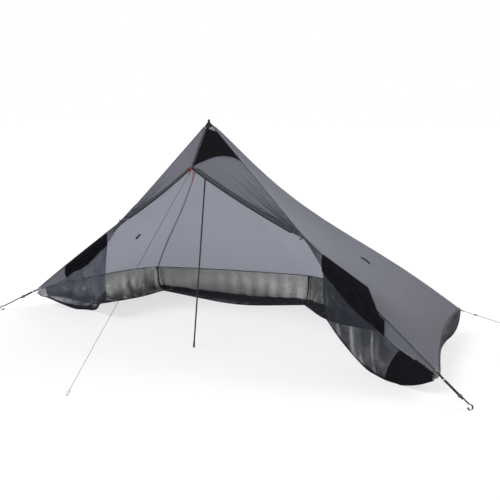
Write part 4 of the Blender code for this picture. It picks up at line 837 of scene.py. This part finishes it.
# %% Netting lines
NETTING = 0.0010
NET_HEM = 0.0022
CORNER_SPREAD, CENTRE_SPREAD, MIDDLE_SPREAD = 0.80, 0.35, 1.0
END_NET_START = 0.07
END_NET_GATHER, END_NET_TIGHT, END_NET_LIFT = 0.28, 0.25, 0.070
NET_OUTSIDE = 0.0024
NETTING_FIRST, NETTING_LAST = 1.1607, 1.965
NETTING_FOOT = {
    RIGHT: [(0.745, 0.178, 0.247), (0.800, 0.235, 0.130), (0.900, 0.250, 0.030), (0.996, 0.205, 0.0),
            (1.110, 0.145, 0.0), (1.199, 0.125, 0.0), (1.310, 0.075, 0.040), (1.398, 0.056, 0.085)],
    LEFT: [(-0.750, 0.057, 0.161), (-0.850, 0.095, 0.100), (-0.960, 0.165, 0.035), (-1.066, 0.209, 0.0),
           (-1.160, 0.172, 0.0), (-1.240, 0.115, 0.035), (-1.320, 0.075, 0.070), (-1.398, 0.054, 0.090)],
}
FOOT_CURVE = {side: curve_through(points, 400) for side, points in NETTING_FOOT.items()}


def inward_from(point):
    return unit((FLOOR_MIDDLE - point) * np.array([1.0, 1.0, 0.0]))


def hanging(top, inward, down, lift=0.0):
    """A strip that falls from a hem, just outside the straps there, and lies inward or ends a lift above the ground."""
    foot = NETTING / 2 + GROUND_GAP + lift
    place = top + inward * NETTING_SPREAD * down**2.2 - inward_from(top) * NET_OUTSIDE
    place[2] = foot + (top[2] - foot - 4 * GAP) * (1 - down) ** 1.7
    return place


def end_net(side, share, down):
    near_door = 1 - smooth_step((share - END_NET_START) / END_NET_GATHER)
    near_rear = 1 - smooth_step((1 - share) / END_NET_GATHER)
    spread = mix(mix(1.0, END_NET_TIGHT, near_door), CORNER_SPREAD, near_rear)
    top = end_hem(side, share)
    return hanging(top, inward_from(top) * spread, down, END_NET_LIFT * near_door)


def back_net(share, down):
    to_centre = 1 - abs(2 * share - 1)
    spread = mix(CORNER_SPREAD, CENTRE_SPREAD, to_centre) + MIDDLE_SPREAD * math.sin(math.pi * to_centre)
    top = back_hem(share)
    return hanging(top, inward_from(top) * spread, down)


def door_net(side, along, down):
    foot = FOOT_CURVE[side][int(round((along - NETTING_FIRST) / (NETTING_LAST - NETTING_FIRST) * 399))].copy()
    foot[2] = max(foot[2], 0.0)
    foot = foot + UP * (NET_HEM + GROUND_GAP)
    top = door_free_edge(side, along) - UP * 2 * GAP
    return mix(top, foot, down) - BACKWARD * NETTING_BELLY * math.sin(math.pi * down)


GATHER_CALM = 0.03


def gathers(grid, size, depth, seed):
    """Upright folds that deepen towards the foot and calm down at the foot itself and at the strip's two ends."""
    chance = np.random.default_rng(seed)
    along = np.append(0, np.linalg.norm(np.diff(grid[:, 0], axis=0), axis=1).cumsum())[:, None]
    calm = smooth_step(np.minimum(along, along[-1] - along) / GATHER_CALM)
    down = shares(grid)[1]
    total = np.zeros(grid.shape[:2])
    for _ in range(4):
        pace = math.tau / (size * chance.uniform(0.7, 1.5))
        total += np.sin(along * pace + chance.uniform(0, math.tau) + down * chance.uniform(-1.5, 1.5))
    return depth * calm * total / 2 * down**0.7 * (1 - down**6)


# %% Hang the netting
CORNER_FIRST, CORNER_LAST = 1.67, 1.955
CORNER_RISE = 0.0045
CORNER_SLANT = 0.12

for name, side in SIDES.items():
    ends = (0.0, 0.5) if side == LEFT else (0.5, 1.0)
    base = grid_of(back_net, 170, 40, first=(ends[0], 0.0), last=(ends[1], 1.0))
    hang(f"{name}_back_net", base, gathers(base, 0.11, 0.007, 31 + side), back_netting, BACKWARD, "mesh_net",
         [f"{name}_back_netting"], unrolled=True)
    base = grid_of(lambda share, down: end_net(side, share, down), 130, 40, first=(END_NET_START, 0.0))
    hang(f"{name}_end_net", base, gathers(base, 0.10, 0.006, 41 + side), netting, ACROSS * side, "mesh_net",
         [f"{name}_end_netting"], unrolled=True)
    base = grid_of(lambda along, down: door_net(side, along, down), 150, 60, first=(NETTING_FIRST, 0.0),
                   last=(NETTING_LAST, 1.0))
    moves = gathers(base, 0.12, 0.009, 51 + side) + ripple(base, 0.15, 0.003, 61) * held_edges(base)
    if side == RIGHT:
        alongs = np.linspace(NETTING_FIRST, NETTING_LAST, len(base))
        moves *= smooth_step((CORNER_FIRST - CORNER_SLANT / 2 - alongs) / 0.06)[:, None]
    finish = painted_lit_left_netting if side == LEFT else netting
    hang(f"{name}_door_net", base, moves, finish, -BACKWARD, "mesh_net", [f"{name}_door_netting"],
         unrolled=True)


def corner_piece(along, down):
    """The black cloth's front edge slants: it starts further on at its top than at its foot."""
    free = (CORNER_LAST - along) / (CORNER_LAST - CORNER_FIRST)
    return door_net(RIGHT, along + CORNER_SLANT * free * (0.5 - down), down) - BACKWARD * CORNER_RISE


base = grid_of(corner_piece, 60, 40, first=(CORNER_FIRST, 0.02), last=(CORNER_LAST, 0.95))
hang("corner_cloth", base, ripple(base, 0.12, 0.0010, 71), black_cloth, -BACKWARD, "black_cloth",
     ["right_corner_panel"], unrolled=True)

# %% [markdown]
# ## The rolled doors' bundles
# The part of each door's netting that is tied back is a soft bundle: folded lengthwise again and again, thick in
# its middle and lumpy. It is made as rings of points, one round the bundle at each place along it.

# %% Bundles
ROLL_LAST, ROLL_TOP, ROLL_WIDTH, ROLL_THICKNESS = 1.62, 0.008, 0.108, 0.034
ROLL_PEAK, ROLL_FALL = 0.74, 0.915
ROLL_RISE = {RIGHT: (0.020, 0.080), LEFT: (0.0, 0.0)}
ROLL_CLEARANCE = 0.0045
ROLL_FOLDS = 4


def curtain(side, along, depth):
    """A point a given depth below the ridge, on the door's strip or on the netting under it."""
    ridge, edge = door_ridge(side, along), door_free_edge(side, along)
    strip = float(np.linalg.norm(edge - ridge))
    if depth <= strip:
        return ridge - UP * depth
    foot = door_net(side, along, 1.0)
    return door_net(side, along, min(1.0, (depth - strip) / float(np.linalg.norm(foot - edge))))


def bundle_ring(side, along, count):
    share = (along - NETTING_FIRST) / (ROLL_LAST - NETTING_FIRST)
    fullness = math.sin(math.pi * mix(0.08, 0.92, share)) ** 0.6
    strip = float(np.linalg.norm(door_free_edge(side, along) - door_ridge(side, along)))
    falling = min(1.0, max(0.0, (ROLL_FALL - share) / (ROLL_FALL - ROLL_PEAK)))
    top = ROLL_TOP - mix(*ROLL_RISE[side], min(1.0, share / ROLL_PEAK)) * falling
    foot = max(ROLL_WIDTH * fullness, strip + ROLL_TOP)
    front, behind = [], []
    for across in np.linspace(0, 1, count):
        place = curtain(side, along, mix(top, foot, across)) - BACKWARD * ROLL_CLEARANCE
        swell = ROLL_THICKNESS * fullness * math.sin(math.pi * mix(0.05, 0.95, across)) ** 0.7
        phase = math.tau * (ROLL_FOLDS * across + 0.9 * math.sin(4.1 * share + side))
        lumps = 1 + 0.20 * math.sin(phase) + 0.10 * math.sin(2.3 * phase + 9 * share) + 0.08 * math.sin(31 * share)
        front.append(place - BACKWARD * swell * lumps)
        behind.append(place)
    return front + behind[::-1]


def bundle(name, side, stations=90, count=26):
    rings = [bundle_ring(side, along, count) for along in np.linspace(NETTING_FIRST, ROLL_LAST, stations)]
    size = len(rings[0])
    vertices = [point for ring in rings for point in ring]
    faces = []
    for i in range(stations - 1):
        for j in range(size):
            a, b = i * size + j, i * size + (j + 1) % size
            faces.append((a, b, b + size, a + size))
    for start, order in ((0, 1), ((stations - 1) * size, -1)):
        middle = len(vertices)
        vertices.append(np.mean(rings[0 if start == 0 else -1], axis=0))
        for j in range(size):
            faces.append((start + (j + 1) % size, start + j, middle)[::order])
    piece = add_mesh(name, np.array(vertices), faces, None, bundled_netting)
    bpy.ops.object.select_all(action="DESELECT")
    bpy.context.view_layer.objects.active = piece
    piece.select_set(True)
    bpy.ops.object.mode_set(mode="EDIT")
    bpy.ops.mesh.select_all(action="SELECT")
    bpy.ops.mesh.normals_make_consistent(inside=False)
    bpy.ops.object.mode_set(mode="OBJECT")
    dress(piece, "mesh_net", f"{name}_roll")
    return piece


for name, side in SIDES.items():
    roll = bundle(f"{name}_door", side)
    roll.name = f"{name}_bundle"
    print(roll.name, "faces", len(roll.data.polygons))

# %% [markdown]
# ## Seams and hem
# Two panels meet in a felled seam: their edges folded into each other and sewn flat with two rows of stitches. The
# hem is a tape folded over the cloth's edge. Both are narrow strips that follow the lines above.

# %% Seam strips and the hem's binding
SEAM_HALF = 0.006
SEAM_WALL = 0.0014
HEM_HALF = 0.0075


def strip(name, rows, facing, nodes, wall, material=seam_tape, slot="seam_tape"):
    """A narrow strip, from rows of points across it."""
    base = np.array(rows)
    lengths = np.append(0, np.linalg.norm(np.diff(base[:, base.shape[1] // 2], axis=0), axis=1).cumsum())
    across = np.linalg.norm(np.diff(base, axis=1), axis=2).mean(axis=0)
    middle = np.append(0, across.cumsum()) - across.sum() / 2
    flat_map = np.stack([np.tile(middle, len(base)), np.repeat(lengths, base.shape[1])], axis=1)
    columns = base.shape[1]
    faces = []
    for i in range(len(base) - 1):
        for j in range(columns - 1):
            a = i * columns + j
            faces.append((a, a + 1, a + columns + 1, a + columns))
    step = np.cross(np.gradient(base, axis=1), np.gradient(base, axis=0)).mean(axis=(0, 1))
    if step @ facing < 0:
        faces = [face[::-1] for face in faces]
    piece = add_mesh(name, base.reshape(-1, 3), faces, flat_map, material)
    apply_modifier(piece, "SOLIDIFY", thickness=wall, offset=0.0)
    dress(piece, slot, *nodes)
    print(name, "length", round(float(lengths[-1]), 3))
    return piece


def seam_rows(ridge, first, second, shares_down):
    """Across a ridge: down one panel, over the ridge and down the other."""
    rows = []
    for share in shares_down:
        top = ridge(share)
        one, two = unit(first(share) - top), unit(second(share) - top)
        lift = -unit(one + two) * (SEAM_WALL / 2 + CLOTH / 2)
        rows.append([top + one * SEAM_HALF + lift, top + one * SEAM_HALF / 2 + lift, top + lift,
                     top + two * SEAM_HALF / 2 + lift, top + two * SEAM_HALF + lift])
    return rows


for name, side in SIDES.items():
    downs = np.linspace(0.002, 0.980, 120)
    rows = seam_rows(lambda s: front_ridge(side, s), lambda s: end_panel(side, s, 0.06),
                     lambda s: front_ridge(side, s) - UP * 0.05 + OUT_OF_DOOR * 0.005, downs)
    strip(f"{name}_front_seam", rows, UP, [f"{name}_front_ridge_seam"], SEAM_WALL)
    rows = seam_rows(lambda s: rear_ridge(side, s), lambda s: end_panel(side, s, 0.94),
                     lambda s: back_panel(s, 0.04 if side == LEFT else 0.96), downs)
    strip(f"{name}_rear_seam", rows, UP, [f"{name}_rear_ridge_seam"], SEAM_WALL, rear_tape)

hem_points = [(end_hem(LEFT, s), end_panel(LEFT, 0.96, s)) for s in np.linspace(0.035, 1.0, 60)]
hem_points += [(back_hem(s), back_panel(0.96, s)) for s in np.linspace(0.0, 1.0, 100)[1:-1]]
hem_points += [(end_hem(RIGHT, s), end_panel(RIGHT, 0.96, s)) for s in np.linspace(1.0, 0.035, 60)]
rows = []
for k, (edge, above) in enumerate(hem_points):
    rise = unit(above - edge)
    ahead = unit(hem_points[min(k + 1, len(hem_points) - 1)][0] - hem_points[max(k - 1, 0)][0])
    out = unit(np.cross(rise, ahead))
    out = out if out @ (edge - FLOOR_MIDDLE) > 0 else -out
    rows.append([edge + rise * HEM_HALF - out * 0.0010, edge - out * 0.0012, edge - rise * 0.0012,
                 edge + out * 0.0012, edge + rise * HEM_HALF + out * 0.0010])
strip("hem_binding", rows, BACKWARD, ["canopy_hem"], 0.0006)

# %% [markdown]
# A door's free edge is faced with a dark tape that carries the zip, and each pull-out is backed by a small black patch
# on the inside, which spreads its load. Both are strips that repeat the surface under them, a little proud of it.

# %% Door facings and pull-out backings
FACING_WIDTH, FACING_RISE = 0.022, 0.0035
BACKING_HALF_LENGTH, BACKING_HALF_WIDTH, BACKING_RISE = 0.0325, 0.006, 0.0045
PULL_OUT_PLACE = {RIGHT: (0.65, 0.73), LEFT: (0.61, 0.50)}


def facing_row(side, along):
    width = min(0.9, FACING_WIDTH / float(np.linalg.norm(door_free_edge(side, along) - door_ridge(side, along))))
    return [door(side, along, 1 - width * k / 4) + OUT_OF_DOOR * FACING_RISE for k in range(5)]


def backing_rows(side):
    down, across = PULL_OUT_PLACE[side]
    along = unit(end_panel(side, down + 0.02, across) - end_panel(side, down - 0.02, across))
    over = end_panel(side, down, across + 0.02) - end_panel(side, down, across - 0.02)
    inward = unit(np.cross(along, over))
    inward = inward if inward @ out_of_end(side) < 0 else -inward
    beside = np.cross(inward, along)
    middle = end_panel(side, down, across) + inward * BACKING_RISE
    wides = (-BACKING_HALF_WIDTH, 0.0, BACKING_HALF_WIDTH)
    reaches = np.linspace(-BACKING_HALF_LENGTH, BACKING_HALF_LENGTH, 12)
    return [[middle + along * reach + beside * wide for wide in wides] for reach in reaches], inward


for name, side in SIDES.items():
    rows = [facing_row(side, along) for along in np.linspace(0.03, 0.97, 130)]
    strip(f"{name}_door_facing", rows, OUT_OF_DOOR, [], 0.0008)
    rows, inward = backing_rows(side)
    strip(f"{name}_pull_out_backing", rows, inward, [], 0.0012, black_cloth, "black_cloth")

# %% [markdown]
# ## Floor, light and background
# The tarp stands on a plain pale floor in soft daylight. One large sun gives the direction and a second, weaker one
# comes from behind, so that the cloth glows a little from inside. The floor adds white of its own where the camera
# looks at it, which keeps it pale and still shows the shadow.

# %% Floor
FLOOR_SIZE = 120.0
FLOOR_DROP = 0.0004
FLOOR_WHITE = 0.62

bpy.ops.mesh.primitive_plane_add(size=FLOOR_SIZE, location=(0.0, 0.0, -FLOOR_DROP))
floor = bpy.context.active_object
floor.name = "floor"
ground = Finish("floor_white", 0.9)
ground.shader.inputs["Base Color"].default_value = (0.86, 0.86, 0.86, 1.0)
seen = ground.node("ShaderNodeLightPath")
ground.mixed_with("ShaderNodeEmission", (1.0, 1.0, 1.0), seen * FLOOR_WHITE)
floor.data.materials.append(ground.material)

# %% Lamps, world and view
WORLD_LIGHT = 0.55
SUNS = {
    "key": (2.1, 26.0, (48.0, 0.0, -8.0)),
    "behind": (1.5, 40.0, (50.0, 0.0, 142.0)),
}
for name, (strength, spread, turns) in SUNS.items():
    lamp = bpy.data.lights.new(name, "SUN")
    lamp.energy = strength
    lamp.angle = math.radians(spread)
    sun = bpy.data.objects.new(name, lamp)
    sun.rotation_euler = Euler([math.radians(turn) for turn in turns])
    bpy.context.scene.collection.objects.link(sun)

world = bpy.data.worlds.new("world")
bpy.context.scene.world = world
world.use_nodes = True
tree = world.node_tree
light = tree.nodes["Background"]
light.inputs["Color"].default_value = (1.0, 1.0, 1.0, 1.0)
light.inputs["Strength"].default_value = WORLD_LIGHT
white = tree.nodes.new("ShaderNodeBackground")
white.inputs["Color"].default_value = (1.0, 1.0, 1.0, 1.0)
paths = tree.nodes.new("ShaderNodeLightPath")
camera_or_glossy = tree.nodes.new("ShaderNodeMath")
camera_or_glossy.operation = "MAXIMUM"
tree.links.new(paths.outputs["Is Camera Ray"], camera_or_glossy.inputs[0])
tree.links.new(paths.outputs["Is Glossy Ray"], camera_or_glossy.inputs[1])
seen_white = tree.nodes.new("ShaderNodeMath")
seen_white.operation = "MAXIMUM"
tree.links.new(camera_or_glossy.outputs[0], seen_white.inputs[0])
tree.links.new(paths.outputs["Is Transmission Ray"], seen_white.inputs[1])
blend = tree.nodes.new("ShaderNodeMixShader")
tree.links.new(seen_white.outputs[0], blend.inputs[0])
tree.links.new(light.outputs[0], blend.inputs[1])
tree.links.new(white.outputs[0], blend.inputs[2])
tree.links.new(blend.outputs[0], tree.nodes["World Output"].inputs["Surface"])
bpy.context.scene.view_settings.view_transform = "Standard"
print("lamps", list(SUNS))

# %% [markdown]
# ## Bringing the scene up to date
# The last cell updates the view layer.

# %% Update the scene
bpy.context.view_layer.update()
